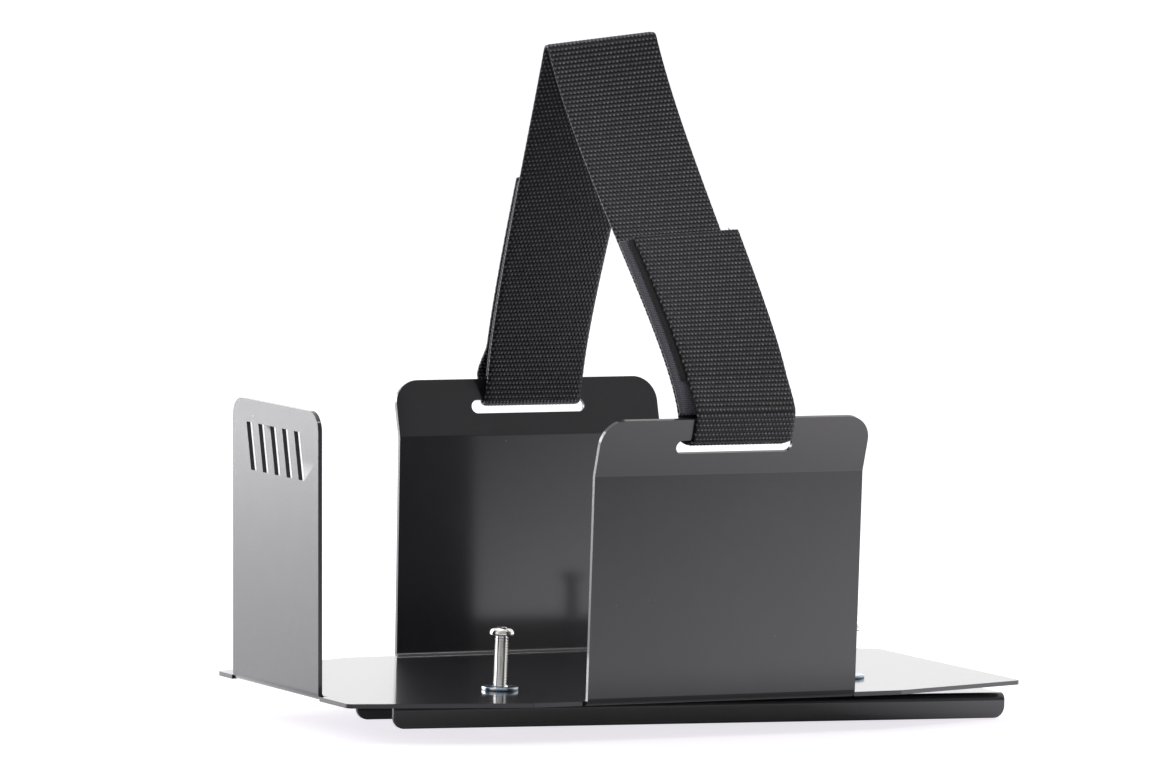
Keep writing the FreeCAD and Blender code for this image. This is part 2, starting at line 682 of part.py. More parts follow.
def make_washer(name, side):
    """A flat washer on the floor, round the screw."""
    outer = doc.addObject("Part::Cylinder", "washer_disc_" + name)
    bore = doc.addObject("Part::Cylinder", "washer_bore_" + name)
    bind(outer, "Radius", "sizes.washer_size / 2")
    bind(bore, "Radius", "sizes.screw_size / 2 + sizes.hole_play")
    for solid in (outer, bore):
        bind(solid, "Height", "sizes.washer_thickness")
    washer = doc.addObject("Part::Cut", "washer_" + name)
    washer.Base = outer
    washer.Tool = bore
    washer.Label = "washer_" + name
    lift = T + size("seat_play")
    run = (lift + size("washer_thickness") / 2 - T / 2) * math.tan(TILT)
    washer.Placement = FreeCAD.Placement(
        V(hole_x(side) + run, -size("channel_forward"), lift), FreeCAD.Rotation())
    bind(washer, "Placement.Base.x",
         "sizes.screw_shift + %d * sizes.screw_spacing / 2 + (sizes.sheet_thickness / 2"
         " + sizes.seat_play + sizes.washer_thickness / 2) * tan(sizes.channel_tilt * 1 deg)"
         % side)
    bind(washer, "Placement.Base.y", "-sizes.channel_forward")
    bind(washer, "Placement.Base.z", "sizes.sheet_thickness + sizes.seat_play")
    return washer


# Strap: the line of its middle, as stations (place, direction, share of the way to the peak)
WEB = size("web_thickness")
PLY = WEB + 2 * size("tape_thickness") + 3 * size("seat_play")
LEG_STEPS = 8


def lip_direction(side):
    """Up along a lip."""
    return V(0, side * math.sin(LIP_ANGLE), math.cos(LIP_ANGLE))


def lip_outward(side):
    """Out of a lip's outer face."""
    return V(0, side * math.cos(LIP_ANGLE), -math.sin(LIP_ANGLE))


def bezier(a, b, c, d, q):
    p = 1 - q
    point = a * p ** 3 + b * (3 * p * p * q) + c * (3 * p * q * q) + d * q ** 3
    slope = (b - a) * (3 * p * p) + (c - b) * (6 * p * q) + (d - c) * (3 * q * q)
    return point, slope.normalize()


def slot_fold(side):
    """Centre of the fold in a slot: the webbing goes round the strip of lip above it."""
    clear = size("strap_play")
    edge = slot_middle(side) + lip_direction(side) * (size("slot_width") / 2)
    return edge - lip_outward(side) * (T / 2) + lip_direction(side) * clear


def fold_radius():
    return T / 2 + size("strap_play") + WEB / 2


def leg_start(side):
    """Where a leg leaves its fold, on the lip's inner side."""
    return slot_fold(side) - lip_outward(side) * fold_radius()


def leg_station(side, q):
    """Place and direction on a leg's middle line, from slot (q = 0) to peak (q = 1)."""
    start = leg_start(side)
    lean = math.radians(size("peak_lean"))
    down = V(0, side * math.sin(lean), -math.cos(lean))
    peak = V(0, size("peak_back"), size("peak_height") - WEB / 2)
    centre = peak - V(0, 0, size("peak_fold"))
    end = centre + V(0, side * math.cos(lean), math.sin(lean)) * size("peak_fold")
    rise = end.z - start.z
    pull = size("front_pull") if side < 0 else size("rear_pull")
    leave = lip_direction(side) if side < 0 else V(0, -size("rear_leave"), 1)
    return bezier(start, start + leave * (rise * pull),
                  end + down * (rise * size("peak_pull")), end, q)


def leg_line(side):
    """Stations of a leg, closer together at the slot, with the taped stretch's own."""
    join, end = joined_span(side)
    shares = [join * k / 4 for k in range(4)]
    shares += [join + (end - join) * k / LEG_STEPS for k in range(LEG_STEPS)]
    shares += [end + (1 - end) * k / 4 for k in range(5)]
    return [leg_station(side, q) for q in shares]


def slot_x(side):
    """The leg's middle at its slot."""
    return -size("front_left") if side < 0 else size("rear_right")


def end_skew(side):
    """How far a doubled end lies beside its leg."""
    return size("front_skew") if side < 0 else 0.0


def station_frame(point, slope, side):
    """Place, width direction and thickness direction of the webbing at a station."""
    low = LIP_TOP + size("lip_pass")
    share = min(1.0, max(0.0, (point.z - low) / (size("peak_height") - low)))
    x = slot_x(side) + (-size("peak_left") - slot_x(side)) * share
    turn = math.radians(size("peak_turn") * share ** size("turn_delay"))
    tip = math.radians(size("peak_roll") * share)
    across = V(math.cos(turn) * math.cos(tip), -math.sin(turn) * math.cos(tip), math.sin(tip))
    normal = across.cross(slope).normalize()
    return V(x, point.y, point.z), across, normal


def ply_section(frame, width, thickness):
    """The webbing's rectangle at a station."""
    place, across, normal = frame
    half = across * (width / 2)
    deep = normal * (thickness / 2)
    corners = [place - half - deep, place + half - deep, place + half + deep,
               place - half + deep]
    return Part.makePolygon(corners + corners[:1])


def outside(frame, side, distance, skew=0.0):
    """The same station, moved out of the strap's arch and sideways."""
    place, across, normal = frame
    return place - normal * (side * distance) + across * skew, across, normal


def joined_span(side):
    """The stretch of a leg, as two values of q, that its doubled end is taped to."""
    length = size("front_lap") if side < 0 else size("rear_lap")
    fine = 400
    join = None
    travelled = 0.0
    last = leg_start(side)
    for k in range(1, fine):
        spot = leg_station(side, k / fine)[0]
        travelled += (spot - last).Length
        last = spot
        if join is None and spot.z > LIP_TOP + size("join_rise"):
            join = k / fine
        if travelled > length:
            return join, k / fine
    raise RuntimeError("the doubled end is longer than its leg")


def taped_frames(side, distance, skew):
    """Stations beside the taped stretch of a leg."""
    join, end = joined_span(side)
    frames = []
    for k in range(LEG_STEPS + 1):
        q = join + (end - join) * k / LEG_STEPS
        frames.append(outside(station_frame(*leg_station(side, q), side), side, distance, skew))
    return frames


def lap_frames(side):
    """Stations of a doubled end from its slot up: past the lip, then along its leg."""
    taped = taped_frames(side, PLY, end_skew(side))
    up = lip_direction(side)
    pull = size("join_pull")
    start = slot_fold(side) + lip_outward(side) * fold_radius()
    past = start + up * ((LIP_TOP + size("lip_pass") - start.z) / up.z)
    target = V(0, taped[0][0].y, taped[0][0].z)
    slope = leg_station(side, joined_span(side)[0])[1]
    line = [(start, up), ((start + past) * 0.5, up)]
    line += [bezier(past, past + up * pull, target - slope * pull, target, k / 5)
             for k in range(5)]
    low = slot_x(side) + end_skew(side)
    frames = []
    for spot, run in line:
        share = (spot.z - start.z) / (target.z - start.z)
        place, across, normal = station_frame(spot, run, side)
        place.x = low + (taped[0][0].x - low) * share
        frames.append((place, across, normal))
    return frames + taped


def fold_frames(side):
    """Stations round the strip of lip, from the outer side to the inner side."""
    centre = slot_fold(side)
    frames = []
    for k in range(1, 6):
        angle = math.pi * k / 6
        out = lip_outward(side) * math.cos(angle) - lip_direction(side) * math.sin(angle)
        place = centre + out * fold_radius()
        place.x = slot_x(side) + end_skew(side) * (1 - k / 6)
        frames.append((place, V(1, 0, 0), out * -1))
    return frames


def peak_frames():
    """Stations round the crease at the top, from the front leg to the rear leg."""
    lean = math.radians(size("peak_lean"))
    centre = V(0, size("peak_back"), size("peak_height") - WEB / 2 - size("peak_fold"))
    frames = []
    for k in range(-2, 3):
        angle = (math.pi / 2 - lean) * k / 3
        out = V(0, math.sin(angle), math.cos(angle))
        slope = V(0, math.cos(angle), -math.sin(angle))
        frames.append(station_frame(centre + out * size("peak_fold"), slope, -1))
    return frames


def band(frames, width, thickness):
    """A solid band through stations, each turned so that its faces don't swap sides."""
    wires = []
    last = None
    for place, across, normal in frames:
        if last is not None and normal.dot(last) < 0:
            normal = normal * -1
        last = normal
        wires.append(ply_section((place, across, normal), width, thickness))
    return Part.makeLoft(wires, True, True)


def make_strap():
    """One length of webbing, from the front end to the rear end."""
    frames = list(reversed(lap_frames(-1))) + fold_frames(-1)
    frames += [station_frame(point, slope, -1) for point, slope in leg_line(-1)]
    frames += peak_frames()
    frames += [station_frame(point, slope, 1) for point, slope in reversed(leg_line(1))]
    frames += list(reversed(fold_frames(1))) + lap_frames(1)
    return band(frames, size("web_width"), WEB)


def make_tape(side, layer):
    """A hook or loop tape between a leg and its doubled end."""
    thickness = size("tape_thickness")
    play = size("seat_play")
    distance = WEB / 2 + play + thickness / 2 + layer * (thickness + play)
    frames = taped_frames(side, distance, layer * end_skew(side))
    return band(frames, size("tape_width"), thickness)


def feature(node, shape):
    thing = doc.addObject("Part::Feature", node)
    thing.Label = node
    thing.Shape = shape
    thing.Placement = FreeCAD.Placement()
    return thing


make_tray()
make_channel()
for side_name, side_sign in SIDES:
    make_screw(side_name, side_sign)
    make_nut(side_name, side_sign)
    make_washer(side_name, side_sign)
feature("strap", make_strap())
for end_name, end_side in ENDS:
    for layer, kind in enumerate(("loop_tape_", "hook_tape_")):
        feature(kind + end_name, make_tape(end_side, layer))
doc.recompute()

NODES = ["tray", "clamp_channel"]
NODES += [kind + side_name for kind in ("screw_", "nut_", "washer_") for side_name, _ in SIDES]
NODES += ["strap"]
NODES += [kind + end_name for kind in ("loop_tape_", "hook_tape_") for end_name, _ in ENDS]

for thing in doc.Objects:
    if "Invalid" in thing.State or "Error" in thing.State:
        raise RuntimeError("%s failed: %s" % (thing.Label, thing.State))
os.makedirs("parts", exist_ok=True)
for node in NODES:
    thing = doc.getObjectsByLabel(node)[0]
    shape = thing.Shape
    if shape.isNull() or not shape.isValid():
        raise RuntimeError(node + " has no valid shape")
    print(node, "solids", len(shape.Solids), "volume", round(shape.Volume, 1),
          "z", round(shape.BoundBox.ZMin, 2), round(shape.BoundBox.ZMax, 2))
for node in NODES:
    doc.getObjectsByLabel(node)[0].Shape.exportStep("parts/%s.step" % node)
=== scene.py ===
import math

import bmesh
import bpy
from bpy.props import FloatProperty, FloatVectorProperty, IntProperty, PointerProperty
from mathutils import Matrix, Vector


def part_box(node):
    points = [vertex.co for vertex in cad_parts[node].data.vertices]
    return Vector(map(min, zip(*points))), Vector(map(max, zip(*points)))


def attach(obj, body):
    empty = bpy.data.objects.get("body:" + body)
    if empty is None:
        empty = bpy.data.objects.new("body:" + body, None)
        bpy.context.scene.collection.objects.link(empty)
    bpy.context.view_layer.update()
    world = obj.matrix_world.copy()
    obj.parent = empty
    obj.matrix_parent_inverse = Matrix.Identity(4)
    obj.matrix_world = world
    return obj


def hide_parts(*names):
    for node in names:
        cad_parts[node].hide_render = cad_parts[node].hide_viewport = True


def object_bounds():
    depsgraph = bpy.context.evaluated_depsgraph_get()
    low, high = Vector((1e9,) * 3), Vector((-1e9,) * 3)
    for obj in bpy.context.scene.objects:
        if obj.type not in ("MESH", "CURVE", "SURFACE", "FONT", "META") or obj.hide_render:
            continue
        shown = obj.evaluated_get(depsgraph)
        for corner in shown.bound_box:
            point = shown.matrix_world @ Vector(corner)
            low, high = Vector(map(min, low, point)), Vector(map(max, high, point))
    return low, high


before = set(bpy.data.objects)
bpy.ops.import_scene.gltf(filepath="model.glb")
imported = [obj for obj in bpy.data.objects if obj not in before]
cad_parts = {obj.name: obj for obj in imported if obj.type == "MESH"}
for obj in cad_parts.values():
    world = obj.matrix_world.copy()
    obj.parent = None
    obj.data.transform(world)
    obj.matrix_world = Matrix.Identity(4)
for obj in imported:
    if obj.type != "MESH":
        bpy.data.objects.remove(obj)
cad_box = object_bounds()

# The looks of a cooler rack: a powder-coated tray of folded sheet, a clamp channel on two
# long screws, and a webbing strap that arches over the tray. Metres, +Z up.

bl_info = {
    "name": "Cooler rack",
    "version": (1, 0, 0),
    "blender": (4, 5, 0),
    "location": "3D View > Sidebar > Cooler Rack",
    "description": "Dresses a folded cooler rack: powder coat, fasteners, webbing strap and tapes",
    "category": "Object",
}

MM = 0.001
BODY = "root"
SIDES = ("left", "right")
ENDS = (("front", -1), ("rear", 1))


# Sizes and colours that a user would change
class CoatSettings(bpy.types.PropertyGroup):
    colour: FloatVectorProperty(
        name="Colour", description="Powder coat", subtype="COLOR", size=3, min=0, max=1,
        default=(0.0085, 0.0080, 0.0110))
    roughness: FloatProperty(
        name="Roughness", description="Of the coat", subtype="FACTOR", min=0, max=1,
        default=0.42)
    peel: FloatProperty(
        name="Orange peel", description="Depth of the coat's waves", subtype="DISTANCE",
        default=0.012 * MM)
    edge_round: FloatProperty(
        name="Edge rounding", description="Radius of the coated sheet edges",
        subtype="DISTANCE", default=0.5 * MM)


class FastenerSettings(bpy.types.PropertyGroup):
    thread_radius: FloatProperty(
        name="Thread radius", description="Outside radius of the screws", subtype="DISTANCE",
        default=3.175 * MM)
    pitch: FloatProperty(
        name="Thread pitch", description="From one thread to the next", subtype="DISTANCE",
        default=1.27 * MM)
    head_radius: FloatProperty(
        name="Head radius", description="Button head", subtype="DISTANCE", default=5.55 * MM)
    head_height: FloatProperty(
        name="Head height", description="Button head", subtype="DISTANCE", default=3.35 * MM)
    socket: FloatProperty(
        name="Socket", description="Hex socket across flats", subtype="DISTANCE",
        default=4.0 * MM)
    length: FloatProperty(
        name="Length", description="Screw below its head", subtype="DISTANCE",
        default=38.1 * MM)
    tilt: FloatProperty(
        name="Tilt", description="Lean of the screws and nuts to the right", subtype="ANGLE",
        default=math.radians(0.95))


class StrapSettings(bpy.types.PropertyGroup):
    width: FloatProperty(
        name="Width", description="Webbing", subtype="DISTANCE", default=50.8 * MM)
    thickness: FloatProperty(
        name="Thickness", description="Webbing", subtype="DISTANCE", default=1.6 * MM)
    tape_width: FloatProperty(
        name="Tape width", description="Hook and loop tapes", subtype="DISTANCE",
        default=48.0 * MM)
    tape_thickness: FloatProperty(
        name="Tape thickness", description="One tape, pressed", subtype="DISTANCE",
        default=1.3 * MM)
    rib_pitch: FloatProperty(
        name="Rib pitch", description="From one row of the weave to the next",
        subtype="DISTANCE", default=2.3 * MM)
    columns: IntProperty(
        name="Columns", description="Warp yarns across the webbing", default=56)
    relief: FloatProperty(
        name="Relief", description="Height of the weave's bumps", subtype="DISTANCE",
        default=0.26 * MM)
    colour: FloatVectorProperty(
        name="Colour", description="Webbing yarn", subtype="COLOR", size=3, min=0, max=1,
        default=(0.016, 0.0155, 0.02))
    # Colour of the painted highlight on the tops of the yarns
    painted_highlight_colour: FloatVectorProperty(
        name="Painted highlight colour", description="Painted highlight on the tops of the yarns", subtype="COLOR",
        size=3, min=0, max=1, default=(0.23, 0.225, 0.26))
    # Colour of the painted shade in the gaps between the yarns
    painted_gap_shade_colour: FloatVectorProperty(
        name="Painted gap shade colour", description="Between the yarns", subtype="COLOR", size=3, min=0,
        max=1, default=(0.003, 0.003, 0.004))


class ViewSettings(bpy.types.PropertyGroup):
    distance: FloatProperty(
        name="Distance", description="Camera to target", subtype="DISTANCE", default=4.6706)
    yaw: FloatProperty(
        name="Yaw", description="Camera's turn to the left", subtype="ANGLE",
        default=math.radians(27.7))
    pitch: FloatProperty(
        name="Pitch", description="Camera's height angle", subtype="ANGLE",
        default=math.radians(4.8))
    roll: FloatProperty(
        name="Roll", description="Camera's roll", subtype="ANGLE", default=math.radians(1.4))
    lens: FloatProperty(
        name="Lens", description="Focal length in millimetres", default=312.5)
    target_right: FloatProperty(
        name="Target to the right", description="Of the origin, in the view",
        subtype="DISTANCE", default=-24.9 * MM)
    target_height: FloatProperty(
        name="Target height", description="Above the floor's underside", subtype="DISTANCE",
        default=137.53 * MM)


# Shader helpers
def new_material(name):
    material = bpy.data.materials.new(name)
    material.use_nodes = True
    tree = material.node_tree
    tree.nodes.clear()
    out = tree.nodes.new("ShaderNodeOutputMaterial")
    shader = tree.nodes.new("ShaderNodeBsdfPrincipled")
    tree.links.new(shader.outputs["BSDF"], out.inputs["Surface"])
    return material, tree, shader


def value_of(tree, socket, value):
    """Links a socket, or sets a number on the input."""
    if isinstance(value, bpy.types.NodeSocket):
        tree.links.new(value, socket)
    else:
        socket.default_value = value


def set_shader(tree, shader, sockets):
    """Links or sets each named socket of a shader."""
    for name, value in sockets.items():
        value_of(tree, shader.inputs[name], value)


def maths(tree, operation, *values):
    """The result of a Math node, in a material, the world or a Geometry Nodes tree."""
    node = tree.nodes.new("ShaderNodeMath")
    node.operation = operation
    for socket, value in zip(node.inputs, values):
        value_of(tree, socket, value)
    return node.outputs[0]


def ramp(tree, value, low, high, out_low=0.0, out_high=1.0, smooth=False):
    node = tree.nodes.new("ShaderNodeMapRange")
    node.interpolation_type = "SMOOTHSTEP" if smooth else "LINEAR"
    for name, number in (("From Min", low), ("From Max", high), ("To Min", out_low),
                         ("To Max", out_high)):
        node.inputs[name].default_value = number
    value_of(tree, node.inputs["Value"], value)
    return node.outputs["Result"]


def mix_colour(tree, share, a, b):
    node = tree.nodes.new("ShaderNodeMix")
    node.data_type = "RGBA"
    value_of(tree, node.inputs[0], share)
    for socket, colour in ((node.inputs[6], a), (node.inputs[7], b)):
        value_of(tree, socket, colour if isinstance(colour, bpy.types.NodeSocket)
                 else (*colour, 1.0))
    return node.outputs[2]


def noise(tree, place, scale, detail=3.0, rough=0.55):
    node = tree.nodes.new("ShaderNodeTexNoise")
    node.inputs["Scale"].default_value = scale
    node.inputs["Detail"].default_value = detail
    node.inputs["Roughness"].default_value = rough
    tree.links.new(place, node.inputs["Vector"])
    return node.outputs["Fac"]


def object_place(tree):
    return tree.nodes.new("ShaderNodeTexCoord").outputs["Object"]


def cloth_place(tree):
    """The UV map, in metres, that each woven piece has."""
    node = tree.nodes.new("ShaderNodeUVMap")
    node.uv_map = "cloth"
    return node.outputs["UV"]


def scaled(colour, factor):
    return tuple(min(1.0, factor * c) for c in colour)


def bump(tree, height, distance, strength, normal=None):
    node = tree.nodes.new("ShaderNodeBump")
    node.inputs["Strength"].default_value = strength
    node.inputs["Distance"].default_value = distance
    value_of(tree, node.inputs["Height"], height)
    if normal is not None:
        tree.links.new(normal, node.inputs["Normal"])
    return node.outputs["Normal"]


def new_tree(name, tree_kind, inputs, outputs):
    """An empty node tree with its sockets, and the nodes that it starts and ends with."""
    tree = bpy.data.node_groups.new(name, tree_kind)
    for socket, kind, default in inputs:
        made = tree.interface.new_socket(socket, in_out="INPUT", socket_type=kind)
        if default is not None:
            made.default_value = default
    for socket, kind in outputs:
        tree.interface.new_socket(socket, in_out="OUTPUT", socket_type=kind)
    return tree, tree.nodes.new("NodeGroupInput"), tree.nodes.new("NodeGroupOutput")


def new_group(name, inputs, outputs):
    """A shader node group that puts out numbers only."""
    numbers = [(output, "NodeSocketFloat") for output in outputs]
    return new_tree(name, "ShaderNodeTree", inputs, numbers)


def use_group(tree, name, **values):
    node = tree.nodes.new("ShaderNodeGroup")
    node.node_tree = bpy.data.node_groups[name]
    for key, value in values.items():
        value_of(tree, node.inputs[key.replace("_", " ")], value)
    return node.outputs


# Node groups that more than one material uses
def make_dust_group():
    """Sparse specks of dust, and a soft film that gathers unevenly."""
    group, start, end = new_group("rack_dust", (
        ("Place", "NodeSocketVector", None),
        ("Speck Scale", "NodeSocketFloat", 260.0),
        ("Speck Share", "NodeSocketFloat", 0.02),
    ), ("Specks", "Film"))
    cells = group.nodes.new("ShaderNodeTexVoronoi")
    group.links.new(start.outputs["Place"], cells.inputs["Vector"])
    group.links.new(start.outputs["Speck Scale"], cells.inputs["Scale"])
    pick = group.nodes.new("ShaderNodeSeparateColor")
    group.links.new(cells.outputs["Color"], pick.inputs["Color"])
    chosen = maths(group, "LESS_THAN", pick.outputs[0], start.outputs["Speck Share"])
    speck_size = 0.16
    size = maths(group, "MULTIPLY", pick.outputs[1], speck_size)
    near = maths(group, "LESS_THAN", cells.outputs["Distance"], size)
    group.links.new(maths(group, "MULTIPLY", chosen, near), end.inputs["Specks"])
    soft = noise(group, start.outputs["Place"], 34.0, detail=5.0, rough=0.6)
    group.links.new(ramp(group, soft, 0.42, 0.78, smooth=True), end.inputs["Film"])


def make_grain_group():
    """Fine unevenness: long waves and a fine grain."""
    group, start, end = new_group("rack_grain", (
        ("Place", "NodeSocketVector", None),
        ("Wave Scale", "NodeSocketFloat", 700.0),
        ("Grain Scale", "NodeSocketFloat", 3200.0),
    ), ("Waves", "Grain"))
    for scale, detail, output in (("Wave Scale", 1.5, "Waves"), ("Grain Scale", 2.0, "Grain")):
        node = group.nodes.new("ShaderNodeTexNoise")
        node.inputs["Detail"].default_value = detail
        group.links.new(start.outputs["Place"], node.inputs["Vector"])
        group.links.new(start.outputs[scale], node.inputs["Scale"])
        group.links.new(node.outputs["Fac"], end.inputs[output])


def make_weave_group():
    """A plain weave from a UV map in metres: rows along V, staggered yarns along U."""
    group, start, end = new_group("rack_weave", (
        ("Place", "NodeSocketVector", None),
        ("Row Pitch", "NodeSocketFloat", 2.3 * MM),
        ("Yarn Pitch", "NodeSocketFloat", 1.85 * MM),
        ("Unevenness", "NodeSocketFloat", 0.12),
    ), ("Height", "Crown", "Peak", "Yarn Tone"))
    split = group.nodes.new("ShaderNodeSeparateXYZ")
    group.links.new(start.outputs["Place"], split.inputs["Vector"])
    jitter = noise(group, start.outputs["Place"], 900.0, detail=1.0, rough=0.5)
    jitter = maths(group, "MULTIPLY", maths(group, "SUBTRACT", jitter, 0.5),
                   start.outputs["Unevenness"])
    row = maths(group, "DIVIDE", split.outputs["Y"], start.outputs["Row Pitch"])
    row = maths(group, "ADD", row, jitter)
    index = maths(group, "ROUND", row)
    across_row = maths(group, "SUBTRACT", row, index)
    odd = maths(group, "MODULO", maths(group, "ABSOLUTE", index), 2.0)
    yarn = maths(group, "DIVIDE", split.outputs["X"], start.outputs["Yarn Pitch"])
    yarn = maths(group, "ADD", yarn, maths(group, "MULTIPLY", odd, 0.5))
    yarn = maths(group, "ADD", yarn, jitter)
    column = maths(group, "ROUND", yarn)
    across_yarn = maths(group, "SUBTRACT", yarn, column)
    rise_row = maths(group, "COSINE", maths(group, "MULTIPLY", across_row, 2 * math.pi))
    rise_yarn = maths(group, "COSINE", maths(group, "MULTIPLY", across_yarn, 2 * math.pi))
    row_share = 0.62
    total = maths(group, "ADD", maths(group, "MULTIPLY", rise_row, row_share),
                  maths(group, "MULTIPLY", rise_yarn, 1 - row_share))
    height = ramp(group, total, -1.0, 1.0)
    group.links.new(height, end.inputs["Height"])
    # Crown masks the painted shade in the gaps and Peak the painted highlight on the yarn tops
    group.links.new(ramp(group, total, -0.35, 0.8, smooth=True), end.inputs["Crown"])
    group.links.new(ramp(group, total, 0.35, 0.95, smooth=True), end.inputs["Peak"])
    cell = group.nodes.new("ShaderNodeCombineXYZ")
    group.links.new(column, cell.inputs["X"])
    group.links.new(index, cell.inputs["Y"])
    tone = group.nodes.new("ShaderNodeTexWhiteNoise")
    tone.noise_dimensions = "3D"
    group.links.new(cell.outputs["Vector"], tone.inputs["Vector"])
    group.links.new(tone.outputs["Value"], end.inputs["Yarn Tone"])


# Materials
FILM_GREY = (0.42, 0.42, 0.44)
SPECK_GREY = (0.5, 0.5, 0.5)
LINT_GREY = (0.3, 0.3, 0.3)
GRIME_GREY = (0.25, 0.25, 0.25)


def powder_coat_material(coat):
    """Black powder coat: orange peel, fine grain, a clear glossy top and a little dust."""
    material, tree, shader = new_material("black_powder_coat")
    place = object_place(tree)
    grain = use_group(tree, "rack_grain", Place=place, Wave_Scale=420.0, Grain_Scale=2600.0)
    dust = use_group(tree, "rack_dust", Place=place, Speck_Scale=300.0, Speck_Share=0.012)
    tone = mix_colour(tree, grain["Waves"], tuple(coat.colour), scaled(coat.colour, 1.25))
    tone = mix_colour(tree, maths(tree, "MULTIPLY", dust["Film"], 0.012), tone, FILM_GREY)
    tone = mix_colour(tree, maths(tree, "MULTIPLY", dust["Specks"], 0.55), tone, SPECK_GREY)
    peel = bump(tree, grain["Waves"], coat.peel, 0.55)
    set_shader(tree, shader, {
        "Base Color": tone,
        "Roughness": ramp(tree, grain["Grain"], 0.3, 0.7, coat.roughness - 0.05,
                          coat.roughness + 0.07),
        "IOR": 1.5,
        "Specular IOR Level": 0.22,
        "Coat Weight": 1.0,
        "Coat Roughness": 0.1,
        "Normal": bump(tree, grain["Grain"], 0.15 * coat.peel, 0.5, peel),
    })
    return material


def steel_material(name, colour, roughness, tint=None):
    """Bright metal with a fine grain; a tint gives the plating's blue bloom."""
    material, tree, shader = new_material(name)
    place = object_place(tree)
    grain = use_group(tree, "rack_grain", Place=place, Wave_Scale=900.0, Grain_Scale=5200.0)
    dust = use_group(tree, "rack_dust", Place=place, Speck_Scale=900.0, Speck_Share=0.01)
    tone = mix_colour(tree, grain["Waves"], scaled(colour, 0.86), colour)
    if tint is not None:
        bloom = ramp(tree, noise(tree, place, 260.0, 2.0), 0.35, 0.65, smooth=True)
        tone = mix_colour(tree, bloom, tone, tint)
    tone = mix_colour(tree, maths(tree, "MULTIPLY", dust["Film"], 0.12), tone, GRIME_GREY)
    set_shader(tree, shader, {
        "Base Color": tone,
        "Metallic": 1.0,
        "Roughness": ramp(tree, grain["Grain"], 0.3, 0.7, 0.7 * roughness, 1.4 * roughness),
        "Normal": bump(tree, grain["Grain"], 0.004 * MM, 0.5),
    })
    return material


def webbing_material(strap):
    """Heavy nylon webbing: staggered yarn crowns with painted highlights over gaps with painted
    shade, filaments and lint.
    """
    material, tree, shader = new_material("black_webbing")
    place = cloth_place(tree)
    weave = use_group(tree, "rack_weave", Place=place, Row_Pitch=strap.rib_pitch,
                      Yarn_Pitch=2 * strap.width / strap.columns, Unevenness=0.16)
    filament = filament_lines(tree, place, 11000.0, 900.0)
    tone = mix_colour(tree, weave["Yarn Tone"], tuple(strap.colour), scaled(strap.colour, 2.3))
    tone = mix_colour(tree, ramp(tree, filament, 0.3, 0.75), scaled(strap.colour, 0.6), tone)
    # Painted shade: the gaps between the yarns are darkened where shade falls
    tone = mix_colour(tree, weave["Crown"], tuple(strap.painted_gap_shade_colour), tone)
    # Painted highlight: the tops of the yarns are coloured light where a glint would be
    painted_highlight = maths(tree, "MULTIPLY", weave["Peak"],
                  ramp(tree, weave["Yarn Tone"], 0.0, 1.0, 0.45, 1.0))
    tone = mix_colour(tree, painted_highlight, tone, tuple(strap.painted_highlight_colour))
    dust = use_group(tree, "rack_dust", Place=object_place(tree), Speck_Scale=420.0,
                     Speck_Share=0.02)
    tone = mix_colour(tree, maths(tree, "MULTIPLY", dust["Specks"], 0.35), tone, LINT_GREY)
    relief = bump(tree, weave["Height"], 0.5 * MM, 0.9)
    set_shader(tree, shader, {
        "Base Color": tone,
        "Roughness": ramp(tree, filament, 0.2, 0.8, 0.3, 0.5),
        "Specular IOR Level": 0.3,
        "Normal": bump(tree, filament, 0.06 * MM, 0.6, relief),
    })
    return material


def filament_lines(tree, place, across, along):
    """Stretched noise, for the filaments that run along a yarn."""
    mapping = tree.nodes.new("ShaderNodeMapping")
    mapping.inputs["Scale"].default_value = (across, along, 1.0)
    tree.links.new(place, mapping.inputs["Vector"])
    return noise(tree, mapping.outputs["Vector"], 1.0, 2.0)


def tape_material(name, colour, pile):
    """Loop or hook tape: fine rows with painted shade between them, and a fuzzy pile on the loop
    tape.
    """
    material, tree, shader = new_material(name)
    weave = use_group(tree, "rack_weave", Place=cloth_place(tree), Row_Pitch=0.95 * MM,
                      Yarn_Pitch=1.1 * MM, Unevenness=0.5 if pile else 0.15)
    fuzz = noise(tree, object_place(tree), 2600.0, detail=4.0, rough=0.7)
    tone = mix_colour(tree, fuzz, scaled(colour, 0.45), scaled(colour, 1.6))
    relief = bump(tree, weave["Height"], 0.3 * MM, 0.8)
    # Painted shade: the tape's colour is darkened between its rows
    set_shader(tree, shader, {
        "Base Color": mix_colour(tree, weave["Crown"], scaled(colour, 0.4), tone),
        "Roughness": 0.85,
        "Sheen Weight": 0.5 if pile else 0.15,
        "Sheen Roughness": 0.5,
        "Normal": bump(tree, fuzz, 0.25 * MM if pile else 0.08 * MM, 0.8, relief),
    })
    return material


def thread_material():
    """Black bonded sewing thread with its twist."""
    material, tree, shader = new_material("sewing_thread")
    twist = noise(tree, object_place(tree), 3500.0, 2.0)
    set_shader(tree, shader, {
        "Base Color": mix_colour(tree, twist, (0.012, 0.012, 0.015), (0.06, 0.06, 0.07)),
        "Roughness": 0.5,
        "Normal": bump(tree, twist, 0.06 * MM, 0.8),
    })
    return material


def seen_ray(tree, light):
    """1 where the camera looks straight on or through something clear, otherwise 0."""
    return maths(tree, "MAXIMUM", light.outputs["Is Camera Ray"],
                 light.outputs["Is Transmission Ray"])


